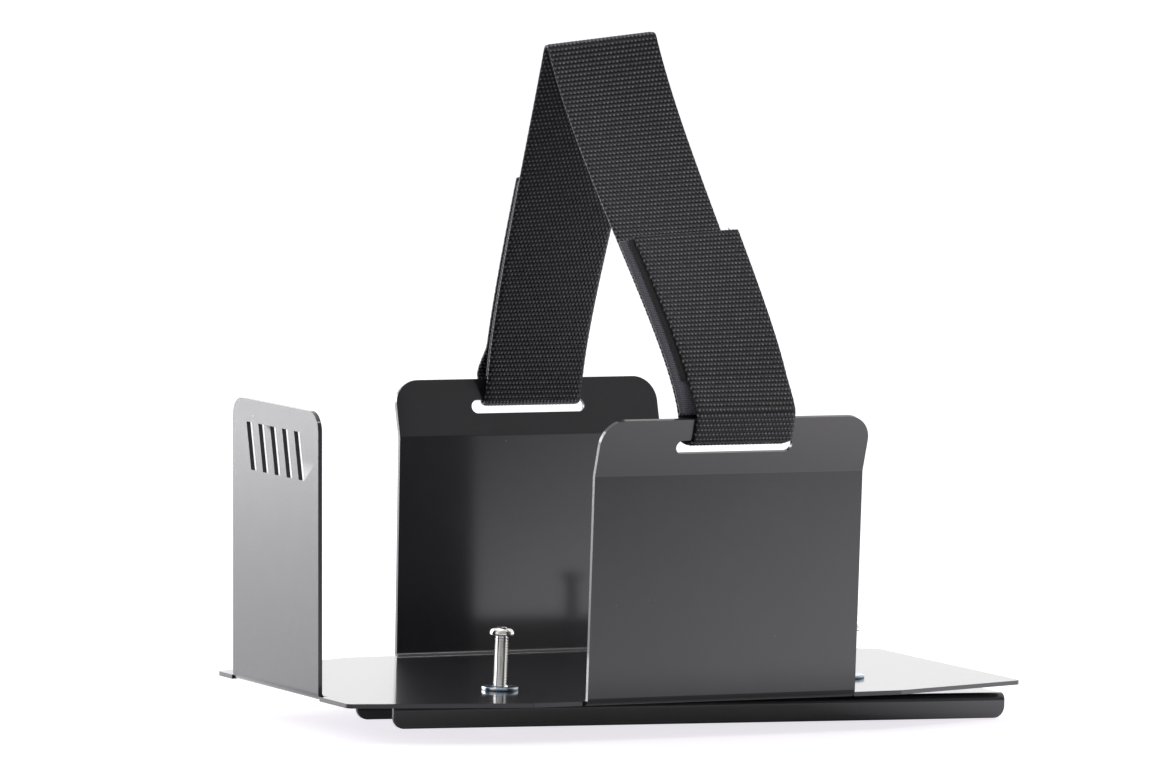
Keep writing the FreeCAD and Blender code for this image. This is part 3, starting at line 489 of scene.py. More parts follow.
def floor_material():
    """A pale floor that the camera sees as nearly white, with its shadows. Reflections see it
    fade out towards the left in front of the rack, as a lit sweep beside a dark room does."""
    material, tree, shader = new_material("studio_floor")
    set_shader(tree, shader, {"Base Color": (0.6, 0.6, 0.61, 1.0), "Roughness": 0.9})
    glow = tree.nodes.new("ShaderNodeEmission")
    glow.inputs["Color"].default_value = (0.97, 0.94, 1.0, 1.0)
    light = tree.nodes.new("ShaderNodeLightPath")
    split = tree.nodes.new("ShaderNodeSeparateXYZ")
    tree.links.new(object_place(tree), split.inputs["Vector"])
    x, y = split.outputs["X"], split.outputs["Y"]
    slant = 0.65
    skewed = maths(tree, "ADD", x, maths(tree, "MULTIPLY", y, slant))
    # Painted shade: close in front of the rack the glow that reflections see is taken away, as if
    # the rack shaded the floor there
    near = maths(tree, "MAXIMUM", ramp(tree, y, -0.14, -0.3), ramp(tree, x, 0.1, 0.22))
    pool = maths(tree, "ADD", ramp(tree, skewed, -0.31, 0.0, 0.0, 1.3),
                 ramp(tree, y, -1.1, -0.3, 0.0, 0.5))
    pool = maths(tree, "MAXIMUM", maths(tree, "MULTIPLY", pool, near), ramp(tree, y, -0.1, 0.1))
    floor_level = 0.78
    strength = maths(tree, "MAXIMUM", maths(tree, "MULTIPLY", seen_ray(tree, light), floor_level),
                     maths(tree, "MULTIPLY", light.outputs["Is Glossy Ray"], pool))
    tree.links.new(strength, glow.inputs["Strength"])
    both = tree.nodes.new("ShaderNodeAddShader")
    tree.links.new(shader.outputs["BSDF"], both.inputs[0])
    tree.links.new(glow.outputs["Emission"], both.inputs[1])
    out = next(n for n in tree.nodes if n.type == "OUTPUT_MATERIAL")
    tree.links.new(both.outputs["Shader"], out.inputs["Surface"])
    return material


# Mesh helpers
def new_piece(name, bm, materials, smooth=True):
    """A finished mesh object at the origin."""
    mesh = bpy.data.meshes.new(name)
    bm.to_mesh(mesh)
    bm.free()
    for material in materials:
        mesh.materials.append(material)
    for face in mesh.polygons:
        face.use_smooth = smooth
    piece = bpy.data.objects.new(name, mesh)
    bpy.context.scene.collection.objects.link(piece)
    return piece


def finish_piece(piece, slot_name, *nodes):
    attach(piece, BODY)
    if nodes:
        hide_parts(*nodes)


def applied(piece):
    """The piece's mesh with its modifiers in it, and no modifier left."""
    graph = bpy.context.evaluated_depsgraph_get()
    mesh = bpy.data.meshes.new_from_object(piece.evaluated_get(graph))
    old = piece.data
    piece.modifiers.clear()
    piece.data = mesh
    bpy.data.meshes.remove(old)
    mesh.name = piece.name
    return piece


# Heights of the strap slots and of the end wall's slots, and the line of the screws. A flat
# face is parted there, so that none has a hole in it
STRAP_SLOTS_AT = 118.4 * MM
END_SLOTS_AT = 109.3 * MM
SCREWS_AT = -42.7 * MM
HOLE_CUTS = (((0, 0, STRAP_SLOTS_AT), (0, 0, 1)), ((0, 0, END_SLOTS_AT), (0, 0, 1)),
             ((0, SCREWS_AT, 0), (0, 1, 0)))
MERGE = 0.002 * MM
FLAT_WITHIN = math.radians(0.6)
SHARP_PAST = math.radians(35)


def sheet_metal_piece(name, node, material, width):
    """A copy of a sheet node, merged, with its sharp edges rounded as a coat rounds them."""
    bm = bmesh.new()
    bm.from_mesh(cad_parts[node].data)
    bmesh.ops.remove_doubles(bm, verts=bm.verts, dist=MERGE)
    for place, normal in HOLE_CUTS:
        cut = bmesh.ops.bisect_plane(bm, geom=bm.verts[:] + bm.edges[:] + bm.faces[:],
                                     plane_co=place, plane_no=normal)
        for part in cut["geom_cut"]:
            if isinstance(part, bmesh.types.BMEdge):
                part.seam = True
    bmesh.ops.dissolve_limit(bm, angle_limit=FLAT_WITHIN, verts=bm.verts, edges=bm.edges,
                             delimit={"SEAM"})
    piece = new_piece(name, bm, [material])
    bevel = piece.modifiers.new("edges", "BEVEL")
    bevel.width = width
    bevel.segments = 3
    bevel.limit_method = "ANGLE"
    bevel.angle_limit = SHARP_PAST
    bevel.use_clamp_overlap = True
    bevel.miter_outer = "MITER_ARC"
    weighted = piece.modifiers.new("normals", "WEIGHTED_NORMAL")
    weighted.mode = "FACE_AREA"
    weighted.weight = 100
    weighted.thresh = 0.0
    return applied(piece)


# The strap's middle line
LIP_RISE = 25.9 * MM
LIP_FLARE = 7.5 * MM
LIP_ANGLE = math.atan2(LIP_FLARE, LIP_RISE)
SHEET = 2.03 * MM
SLOT_DROP = 12.9 * MM
SLOT_WIDTH = 6.4 * MM
PLAY = 0.35 * MM
SEAT = 0.05 * MM
PEAK = Vector((-11.8, 15.5, 299.0)) * MM
PEAK_FOLD = 2.6 * MM
PEAK_LEAN = math.radians(25.5)
PEAK_TURN = math.radians(27.0)
PEAK_ROLL = math.radians(8.5)
FRONT = {"x": -3.1 * MM, "lap": 103.0 * MM, "skew": 6.4 * MM, "pull": 0.2}
REAR = {"x": 2.1 * MM, "lap": 119.0 * MM, "skew": 0.0, "pull": 0.2}
LEGS = {-1: FRONT, 1: REAR}
TOP_PULL = 0.4
REAR_LEAVE = Vector((0, -0.16, 1))
TURN_POWER = 1.3
JOIN_RISE = 16.0 * MM
JOIN_PULL = 4.0 * MM
LIP_PASS = 1.5 * MM
# The front hook tape is shifted so that its black edge shows past the doubled end: a dark strip
# put where the raised doubled end casts its shadow, a painted shadow
HOOK_SHIFT_FOR_PAINTED_SHADOW = {-1: 3.8 * MM, 1: 0.0}
LOW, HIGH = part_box("tray")
LIP_TOP = 131.4 * MM
LIP_OUT = {-1: -LOW.y, 1: HIGH.y}


def lip_up(side):
    return Vector((0, side * math.sin(LIP_ANGLE), math.cos(LIP_ANGLE)))


def lip_out(side):
    return Vector((0, side * math.cos(LIP_ANGLE), -math.sin(LIP_ANGLE)))


def bezier(a, b, c, d, q):
    """Point and direction at q on a curve from a to d."""
    p = 1 - q
    point = a * p ** 3 + b * (3 * p * p * q) + c * (3 * p * q * q) + d * q ** 3
    slope = (b - a) * (3 * p * p) + (c - b) * (6 * p * q) + (d - c) * (3 * q * q)
    return point, slope.normalized()


def slot_fold(side):
    """Centre of the fold round the strip of lip above the slot."""
    out = LIP_OUT[side] - SLOT_DROP * math.tan(LIP_ANGLE)
    edge = Vector((0, side * out, LIP_TOP - SLOT_DROP)) + lip_up(side) * (SLOT_WIDTH / 2)
    return edge - lip_out(side) * (SHEET / 2) + lip_up(side) * PLAY


def fold_radius(web):
    return SHEET / 2 + PLAY + web / 2


def peak_centre(web):
    return Vector((0, PEAK.y, PEAK.z - web / 2 - PEAK_FOLD))


def leg_station(side, q, web):
    """Place and direction on a leg's middle line, from slot (q = 0) to peak (q = 1)."""
    start = slot_fold(side) - lip_out(side) * fold_radius(web)
    down = Vector((0, side * math.sin(PEAK_LEAN), -math.cos(PEAK_LEAN)))
    outward = Vector((0, side * math.cos(PEAK_LEAN), math.sin(PEAK_LEAN)))
    end = peak_centre(web) + outward * PEAK_FOLD
    rise = end.z - start.z
    leave = lip_up(side) if side < 0 else REAR_LEAVE
    return bezier(start, start + leave * (rise * LEGS[side]["pull"]),
                  end + down * (rise * TOP_PULL), end, q)


def station_frame(point, slope, side):
    """Place, width direction and thickness direction of the webbing at a station."""
    low = LIP_TOP + LIP_PASS
    share = min(1.0, max(0.0, (point.z - low) / (PEAK.z - low)))
    x = LEGS[side]["x"] + (PEAK.x - LEGS[side]["x"]) * share
    turn = PEAK_TURN * share ** TURN_POWER
    tip = PEAK_ROLL * share
    across = Vector((math.cos(turn) * math.cos(tip), -math.sin(turn) * math.cos(tip),
                     math.sin(tip)))
    return Vector((x, point.y, point.z)), across, across.cross(slope).normalized()


def moved_out(station, side, distance, skew=0.0):
    """A station moved to the outer side of its leg, and along its width by the skew."""
    place, across, normal = station
    return place - normal * (side * distance) + across * skew, across, normal


def joined_span(side, web):
    """The stretch of a leg, as two values of q, that its doubled end is taped to."""
    fine = 400
    join = None
    travelled = 0.0
    last = leg_station(side, 0, web)[0]
    for k in range(1, fine):
        spot = leg_station(side, k / fine, web)[0]
        travelled += (spot - last).length
        last = spot
        if join is None and spot.z > LIP_TOP + JOIN_RISE:
            join = k / fine
        if travelled > LEGS[side]["lap"]:
            return join, k / fine
    raise RuntimeError("the doubled end is longer than its leg")


def taped_stations(side, distance, skew, web):
    """Stations over the taped stretch of a leg, at a distance from its middle line."""
    join, end = joined_span(side, web)
    steps = 24
    stations = []
    for k in range(steps + 1):
        q = join + (end - join) * k / steps
        station = station_frame(*leg_station(side, q, web), side)
        stations.append(moved_out(station, side, distance, skew))
    return stations


def lap_stations(side, web, tape):
    """Stations of a doubled end from its slot up."""
    skew = LEGS[side]["skew"]
    taped = taped_stations(side, web + 2 * tape + 3 * SEAT, skew, web)
    up = lip_up(side)
    start = slot_fold(side) + lip_out(side) * fold_radius(web)
    past = start + up * ((LIP_TOP + LIP_PASS - start.z) / up.z)
    target = Vector((0, taped[0][0].y, taped[0][0].z))
    slope = leg_station(side, joined_span(side, web)[0], web)[1]
    straight, bend = 4, 10
    line = [(start + (past - start) * (k / straight), up) for k in range(straight)]
    line += [bezier(past, past + up * JOIN_PULL, target - slope * JOIN_PULL, target, k / bend)
             for k in range(bend)]
    low = LEGS[side]["x"] + skew
    stations = []
    for spot, run in line:
        share = (spot.z - start.z) / (target.z - start.z)
        place, across, normal = station_frame(spot, run, side)
        place.x = low + (taped[0][0].x - low) * share
        stations.append((place, across, normal))
    return stations + taped


def fold_stations(side, web):
    """Stations round the strip of lip, from the outer side to the inner side."""
    centre = slot_fold(side)
    stations = []
    steps = 10
    for k in range(1, steps):
        angle = math.pi * k / steps
        out = lip_out(side) * math.cos(angle) - lip_up(side) * math.sin(angle)
        place = centre + out * fold_radius(web)
        place.x = LEGS[side]["x"] + LEGS[side]["skew"] * (1 - k / steps)
        stations.append((place, Vector((1, 0, 0)), out * -1))
    return stations


def peak_stations(web):
    """Stations round the fold at the peak, from the front leg to the rear leg."""
    centre = peak_centre(web)
    half = 5
    stations = []
    for k in range(1 - half, half):
        angle = (math.pi / 2 - PEAK_LEAN) * k / half
        out = Vector((0, math.sin(angle), math.cos(angle)))
        slope = Vector((0, math.cos(angle), -math.sin(angle)))
        stations.append(station_frame(centre + out * PEAK_FOLD, slope, -1))
    return stations


def strap_stations(web, tape):
    """The whole webbing, from its front end over the peak to its rear end."""
    steps = 40
    front = [station_frame(*leg_station(-1, k / steps, web), -1) for k in range(steps + 1)]
    rear = [station_frame(*leg_station(1, k / steps, web), 1) for k in range(steps + 1)]
    stations = list(reversed(lap_stations(-1, web, tape))) + fold_stations(-1, web) + front
    stations += peak_stations(web) + list(reversed(rear))
    stations += list(reversed(fold_stations(1, web))) + lap_stations(1, web, tape)
    return stations


def even_stations(stations, step):
    """Stations at even distances along the line, each turned as its neighbours are."""
    turned = []
    last = None
    for place, across, normal in stations:
        if last is not None and normal.dot(last) < 0:
            normal = normal * -1
        last = normal
        turned.append((place, across, normal))
    reach = [0.0]
    for a, b in zip(turned, turned[1:]):
        reach.append(reach[-1] + (b[0] - a[0]).length)
    count = round(reach[-1] / step)
    evened = []
    i = 0
    for k in range(count + 1):
        at = reach[-1] * k / count
        while i < len(turned) - 2 and reach[i + 1] < at:
            i += 1
        share = (at - reach[i]) / (reach[i + 1] - reach[i])
        a, b = turned[i], turned[i + 1]
        evened.append((a[0].lerp(b[0], share), a[1].lerp(b[1], share).normalized(),
                       a[2].lerp(b[2], share).normalized(), at))
    return evened, reach[-1]


# A band is thinner towards its two edges, and its faces lie a little inside its thickness
EDGE_FROM = 0.93
EDGE_THINNING = 0.45
FACE_SINK = 0.06 * MM


def band_mesh(stations, width, thickness, columns, lift):
    """A closed band of cloth with a UV map in metres; lift(i, j) raises a face's point."""
    bm = bmesh.new()
    uv = bm.loops.layers.uv.new("cloth")
    rows = []
    for i, (place, across, normal, at) in enumerate(stations):
        ring = []
        for sign in (1, -1):
            order = range(columns + 1) if sign > 0 else range(columns, -1, -1)
            for j in order:
                past = max(0.0, abs(2 * j / columns - 1) - EDGE_FROM) / (1 - EDGE_FROM)
                thin = 1 - EDGE_THINNING * past
                height = sign * (thickness / 2 * thin + lift(i, j) - FACE_SINK)
                u = width * (j / columns - 0.5)
                ring.append((bm.verts.new(place + across * u + normal * height), u, at))
        rows.append(ring)

    def add_face(*corners):
        face = bm.faces.new([vert for vert, u, v in corners])
        for loop, (vert, u, v) in zip(face.loops, corners):
            loop[uv].uv = (u, v)

    around = len(rows[0])
    for a, b in zip(rows, rows[1:]):
        for k in range(around):
            n = (k + 1) % around
            add_face(a[k], a[n], b[n], b[k])
    for ring in (rows[0], rows[-1]):
        for k in range(around // 2 - 1):
            add_face(ring[k], ring[k + 1], ring[around - 2 - k], ring[around - 1 - k])
    bmesh.ops.recalc_face_normals(bm, faces=bm.faces)
    return bm


# Geometry Nodes trees
def geometry_tree(name, inputs):
    shape = ("Geometry", "NodeSocketGeometry")
    return new_tree(name, "GeometryNodeTree", ((*shape, None), *inputs), (shape,))


def set_inputs(modifier, tree, **values):
    """Sets a modifier's inputs by their sockets' identifiers."""
    for item in tree.interface.items_tree:
        key = item.name.replace(" ", "_")
        if item.in_out == "INPUT" and key in values:
            modifier[item.identifier] = values[key]


def closing_nodes(tree, geometry, end, start):
    """Ends a tree with real geometry in the material that was asked for."""
    real = tree.nodes.new("GeometryNodeRealizeInstances")
    paint = tree.nodes.new("GeometryNodeSetMaterial")
    tree.links.new(geometry, real.inputs["Geometry"])
    tree.links.new(real.outputs["Geometry"], paint.inputs["Geometry"])
    tree.links.new(start.outputs["Material"], paint.inputs["Material"])
    tree.links.new(paint.outputs["Geometry"], end.inputs["Geometry"])


def make_thread_tree():
    """A threaded shank: a grid rolled up, its radius following a helix."""
    tree, start, end = geometry_tree("rack_thread", (
        ("Radius", "NodeSocketFloat", 3.1 * MM),
        ("Depth", "NodeSocketFloat", 0.7 * MM),
        ("Pitch", "NodeSocketFloat", 1.27 * MM),
        ("Length", "NodeSocketFloat", 38.0 * MM),
        ("Material", "NodeSocketMaterial", None),
    ))
    around = 24
    rows_per_pitch = 8.0
    grid = tree.nodes.new("GeometryNodeMeshGrid")
    grid.inputs["Size X"].default_value = 1.0
    grid.inputs["Size Y"].default_value = 1.0
    grid.inputs["Vertices X"].default_value = around + 1
    length, depth = start.outputs["Length"], start.outputs["Depth"]
    turns = maths(tree, "DIVIDE", length, start.outputs["Pitch"])
    rows = maths(tree, "CEIL", maths(tree, "MULTIPLY", turns, rows_per_pitch))
    tree.links.new(rows, grid.inputs["Vertices Y"])
    place = tree.nodes.new("GeometryNodeInputPosition")
    split = tree.nodes.new("ShaderNodeSeparateXYZ")
    tree.links.new(place.outputs["Position"], split.inputs["Vector"])
    share = maths(tree, "ADD", split.outputs["Y"], 0.5)
    angle = maths(tree, "MULTIPLY", split.outputs["X"], 2 * math.pi)
    phase = maths(tree, "SUBTRACT", maths(tree, "MULTIPLY", share, turns), split.outputs["X"])
    tooth = ramp(tree, maths(tree, "PINGPONG", phase, 0.5), 0.07, 0.42)
    point_share = 0.03
    thick = ramp(tree, share, 0.0, point_share)
    groove = maths(tree, "MULTIPLY", tooth, depth)
    inset = maths(tree, "MULTIPLY", maths(tree, "SUBTRACT", 1.0, thick), depth)
    radius = maths(tree, "SUBTRACT", start.outputs["Radius"],
                   maths(tree, "MAXIMUM", groove, inset))
    join = tree.nodes.new("ShaderNodeCombineXYZ")
    for axis, value in (
            ("X", maths(tree, "MULTIPLY", radius, maths(tree, "COSINE", angle))),
            ("Y", maths(tree, "MULTIPLY", radius, maths(tree, "SINE", angle))),
            ("Z", maths(tree, "MULTIPLY", share, length))):
        tree.links.new(value, join.inputs[axis])
    place_set = tree.nodes.new("GeometryNodeSetPosition")
    tree.links.new(grid.outputs["Mesh"], place_set.inputs["Geometry"])
    tree.links.new(join.outputs["Vector"], place_set.inputs["Position"])
    merge = tree.nodes.new("GeometryNodeMergeByDistance")
    merge.inputs["Distance"].default_value = 0.001 * MM
    tree.links.new(place_set.outputs["Geometry"], merge.inputs["Geometry"])
    closing_nodes(tree, merge.outputs["Geometry"], end, start)
    return tree


def make_stitch_tree():
    """Stitches laid end to end along a line, each a short thread that dips at its ends."""
    tree, start, end = geometry_tree("rack_stitch", (
        ("Pitch", "NodeSocketFloat", 3.2 * MM),
        ("Length", "NodeSocketFloat", 2.4 * MM),
        ("Thread Radius", "NodeSocketFloat", 0.22 * MM),
        ("Material", "NodeSocketMaterial", None),
    ))
    curve = tree.nodes.new("GeometryNodeMeshToCurve")
    tree.links.new(start.outputs["Geometry"], curve.inputs["Mesh"])
    points = tree.nodes.new("GeometryNodeCurveToPoints")
    points.mode = "LENGTH"
    tree.links.new(curve.outputs["Curve"], points.inputs["Curve"])
    tree.links.new(start.outputs["Pitch"], points.inputs["Length"])
    bead = tree.nodes.new("GeometryNodeMeshIcoSphere")
    bead.inputs["Radius"].default_value = 1.0
    bead.inputs["Subdivisions"].default_value = 2
    size = tree.nodes.new("ShaderNodeCombineXYZ")
    tree.links.new(start.outputs["Thread Radius"], size.inputs["X"])
    tree.links.new(start.outputs["Thread Radius"], size.inputs["Y"])
    tree.links.new(maths(tree, "MULTIPLY", start.outputs["Length"], 0.5), size.inputs["Z"])
    put = tree.nodes.new("GeometryNodeInstanceOnPoints")
    tree.links.new(points.outputs["Points"], put.inputs["Points"])
    tree.links.new(bead.outputs["Mesh"], put.inputs["Instance"])
    tree.links.new(points.outputs["Rotation"], put.inputs["Rotation"])
    tree.links.new(size.outputs["Vector"], put.inputs["Scale"])
    closing_nodes(tree, put.outputs["Instances"], end, start)
    return tree


def grown(name, tree, mesh, **values):
    """The plain mesh that a tree makes from a mesh."""
    piece = bpy.data.objects.new(name, mesh)
    bpy.context.scene.collection.objects.link(piece)
    modifier = piece.modifiers.new("tree", "NODES")
    modifier.node_group = tree
    set_inputs(modifier, tree, **values)
    piece.update_tag()
    bpy.context.view_layer.update()
    return applied(piece)


# Fasteners
def circle_ring(bm, around, radius, z):
    """A ring of vertices on a circle."""
    return [bm.verts.new((radius * math.cos(2 * math.pi * k / around),
                          radius * math.sin(2 * math.pi * k / around), z))
            for k in range(around)]


def hexagon_ring(bm, around, reach, z):
    """A ring of vertices on a hexagon that reaches so far to its corners."""
    ring = []
    for k in range(around):
        turn = 2 * math.pi * k / around
        from_flat = turn % (math.pi / 3) - math.pi / 6
        radius = reach * math.cos(math.pi / 6) / math.cos(from_flat)
        ring.append(bm.verts.new((radius * math.cos(turn), radius * math.sin(turn), z)))
    return ring


def join_rings(bm, rings):
    for a, b in zip(rings, rings[1:]):
        around = len(a)
        for k in range(around):
            n = (k + 1) % around
            bm.faces.new((a[k], a[n], b[n], b[k]))


def screw_head(bm, settings):
    """A button head with a hex socket, its underside at z = 0."""
    head = settings.head_radius
    top = settings.head_height
    rim = 0.84 * MM
    crown = 3.05 * MM
    underside_edge = 0.15 * MM
    socket_edge = 0.12 * MM
    socket_depth = 2.0 * MM
    socket_point = 2.3 * MM
    corner = settings.socket / 2 / math.cos(math.pi / 6)
    around = 48
    profile = [(settings.thread_radius * 0.8, 0.0), (head - underside_edge, 0.0),
               (head, underside_edge), (head, rim)]
    bulge = 8
    for k in range(1, bulge + 1):
        turn = math.pi / 2 * k / bulge
        profile.append((crown + (head - crown) * math.cos(turn),
                        rim + (top - rim) * math.sin(turn)))
    rings = [circle_ring(bm, around, radius, z) for radius, z in profile]
    rings += [hexagon_ring(bm, around, reach, z) for reach, z in (
        (corner + socket_edge, top), (corner, top - socket_edge),
        (corner, top - socket_depth), (0.2 * corner, top - socket_point))]
    join_rings(bm, rings)
    bm.faces.new(rings[-1])
    bm.faces.new(list(reversed(rings[0])))


def turned_ring(name, profile, around, material, place):
    """A ring turned from a closed profile of (radius, height)."""
    bm = bmesh.new()
    rings = [circle_ring(bm, around, radius, z) for radius, z in profile]
    join_rings(bm, rings + rings[:1])
    bmesh.ops.recalc_face_normals(bm, faces=bm.faces)
    bmesh.ops.transform(bm, matrix=place, verts=bm.verts)
    return new_piece(name, bm, [material])


def sharpen(piece, angle):
    """Marks edges past an angle as sharp."""
    bm = bmesh.new()
    bm.from_mesh(piece.data)
    for edge in bm.edges:
        if len(edge.link_faces) == 2 and edge.calc_face_angle() > angle:
            edge.smooth = False
    bm.to_mesh(piece.data)
    bm.free()
    return piece


def fastener_axis(node, tilt):
    """A place matrix on a fastener's axis at its highest point, leaning with the channel."""
    low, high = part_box(node)
    top = Vector(((low.x + high.x) / 2, (low.y + high.y) / 2, high.z))
    return Matrix.Translation(top) @ Matrix.Rotation(tilt, 4, "Y")


# Operators
class RACK_OT_camera(bpy.types.Operator):
    """Places the camera where the rack is seen from its left front, a little above the floor"""
    bl_idname = "rack.camera"
    bl_label = "Camera"

    def execute(self, context):
        view = context.scene.rack_view
        yaw, pitch, roll = view.yaw, view.pitch, view.roll
        ahead = Vector((math.sin(yaw) * math.cos(pitch), math.cos(yaw) * math.cos(pitch),
                        -math.sin(pitch)))
        right = ahead.cross(Vector((0, 0, 1))).normalized()
        up = right.cross(ahead)
        target = right * view.target_right + Vector((0, 0, view.target_height))
        turned_right = right * math.cos(roll) + up * math.sin(roll)
        turned_up = up * math.cos(roll) - right * math.sin(roll)
        data = bpy.data.cameras.new("camera")
        data.lens = view.lens
        data.sensor_width = 36.0
        data.clip_start = 0.1
        data.clip_end = 50.0
        camera = bpy.data.objects.new("camera", data)
        context.scene.collection.objects.link(camera)
        turn = Matrix((turned_right, turned_up, -ahead)).transposed().to_4x4()
        camera.matrix_world = Matrix.Translation(target - ahead * view.distance) @ turn
        context.scene.camera = camera
        return {"FINISHED"}


# Soft lights: name, place, aim, width, height, and how bright the face is, 1 being white
PANELS = (
    ("key_light", (0.85, -1.0, 1.7), (0, 0, 0.15), 0.4, 0.4, 15.0),
    ("back_panel", (1.3, 2.5, 0.38), (0, 0, 0.0), 3.0, 0.8, 0.4),
    ("left_panel", (-0.85, 1.15, 0.42), (-0.4, 0.4, -0.15), 1.1, 0.8, 6.0),
    ("left_far_panel", (-0.86, 1.22, 0.36), (-0.18, 0, 0.1), 1.3, 0.75, 1.2),
    ("top_panel", (-0.1, 0.35, 1.9), (0, 0, 0.1), 1.3, 1.3, 1.0),
)


class RACK_OT_stage(bpy.types.Operator):
    """Makes the pale floor, the white surroundings and the soft studio lights"""
    bl_idname = "rack.stage"
    bl_label = "Stage"

    def execute(self, context):
        ground = cad_box[0].z - 0.2 * MM
        bm = bmesh.new()
        bmesh.ops.create_grid(bm, x_segments=2, y_segments=2, size=12.0,
                              matrix=Matrix.Translation((0, 0, ground)))
        floor = new_piece("studio_floor", bm, [floor_material()], smooth=False)
        self.make_world(context)
        for panel in PANELS:
            self.add_panel(context, *panel)
        context.scene.view_settings.view_transform = "Standard"
        return {"FINISHED"}

    def make_world(self, context):
        """White to the camera, a room that darkens to the front in reflections, grey light."""
        world = bpy.data.worlds.new("studio")
        world.use_nodes = True
        tree = world.node_tree
        back = next(n for n in tree.nodes if n.type == "BACKGROUND")
        back.inputs["Color"].default_value = (1, 1, 1, 1)
        light = tree.nodes.new("ShaderNodeLightPath")
        split = tree.nodes.new("ShaderNodeSeparateXYZ")
        tree.links.new(tree.nodes.new("ShaderNodeTexCoord").outputs["Generated"],
                       split.inputs["Vector"])
        room = maths(tree, "MULTIPLY", light.outputs["Is Glossy Ray"],
                     ramp(tree, split.outputs["Y"], -0.75, -0.1, 0.4, 1.0, smooth=True))
        seen = maths(tree, "MAXIMUM", seen_ray(tree, light), room)
        light_level = 0.42
        tree.links.new(maths(tree, "MAXIMUM", seen, light_level), back.inputs["Strength"])
        context.scene.world = world

    def add_panel(self, context, name, place, aim, wide, tall, level):
        """A soft light that the camera doesn't see, turned to its aim."""
        data = bpy.data.lights.new(name, "AREA")
        data.shape = "RECTANGLE"
        data.size = wide
        data.size_y = tall
        data.energy = level * math.pi * wide * tall
        lamp = bpy.data.objects.new(name, data)
        lamp.visible_camera = False
        context.scene.collection.objects.link(lamp)
        turn = (Vector(aim) - Vector(place)).to_track_quat("-Z", "Y")
        lamp.matrix_world = Matrix.Translation(place) @ turn.to_matrix().to_4x4()


class RACK_OT_sheet_metal(bpy.types.Operator):
    """Gives the tray and the clamp channel rounded edges and their powder coat"""
    bl_idname = "rack.sheet_metal"
    bl_label = "Sheet metal"

    def execute(self, context):
        coat = context.scene.rack_coat
        material = powder_coat_material(coat)
        for name, node in (("coated_tray", "tray"), ("coated_channel", "clamp_channel")):
            piece = sheet_metal_piece(name, node, material, coat.edge_round)
            finish_piece(piece, "powder_coat", node)
        return {"FINISHED"}


class RACK_OT_screws(bpy.types.Operator):
    """Makes both button-head screws, threaded to the head"""
    bl_idname = "rack.screws"
    bl_label = "Screws"

    def execute(self, context):
        settings = context.scene.rack_fasteners
        steel = steel_material("bright_steel", (0.9, 0.89, 0.87), 0.12)
        tree = make_thread_tree()
        for name in SIDES:
            node = "screw_" + name
            shank = grown("threaded_" + node, tree, bpy.data.meshes.new("shank"),
                          Radius=settings.thread_radius, Depth=0.72 * MM,
                          Pitch=settings.pitch, Length=settings.length, Material=steel)
            bm = bmesh.new()
            bm.from_mesh(shank.data)
            # The shank is open at both ends
            bmesh.ops.holes_fill(bm, edges=[e for e in bm.edges if e.is_boundary])
            down = Matrix.Translation((0, 0, -settings.length))
            bmesh.ops.transform(bm, matrix=down, verts=bm.verts)
            screw_head(bm, settings)
            bmesh.ops.recalc_face_normals(bm, faces=bm.faces)
            place = fastener_axis(node, settings.tilt) @ Matrix.Translation(
                (0, 0, -settings.head_height))
            bmesh.ops.transform(bm, matrix=place, verts=bm.verts)
            bm.to_mesh(shank.data)
            bm.free()
            shank.data.materials.clear()
            shank.data.materials.append(steel)
            for face in shank.data.polygons:
                face.use_smooth = True
                face.material_index = 0
            sharpen(shank, math.radians(50))
            finish_piece(shank, "screw_steel", node)
        return {"FINISHED"}


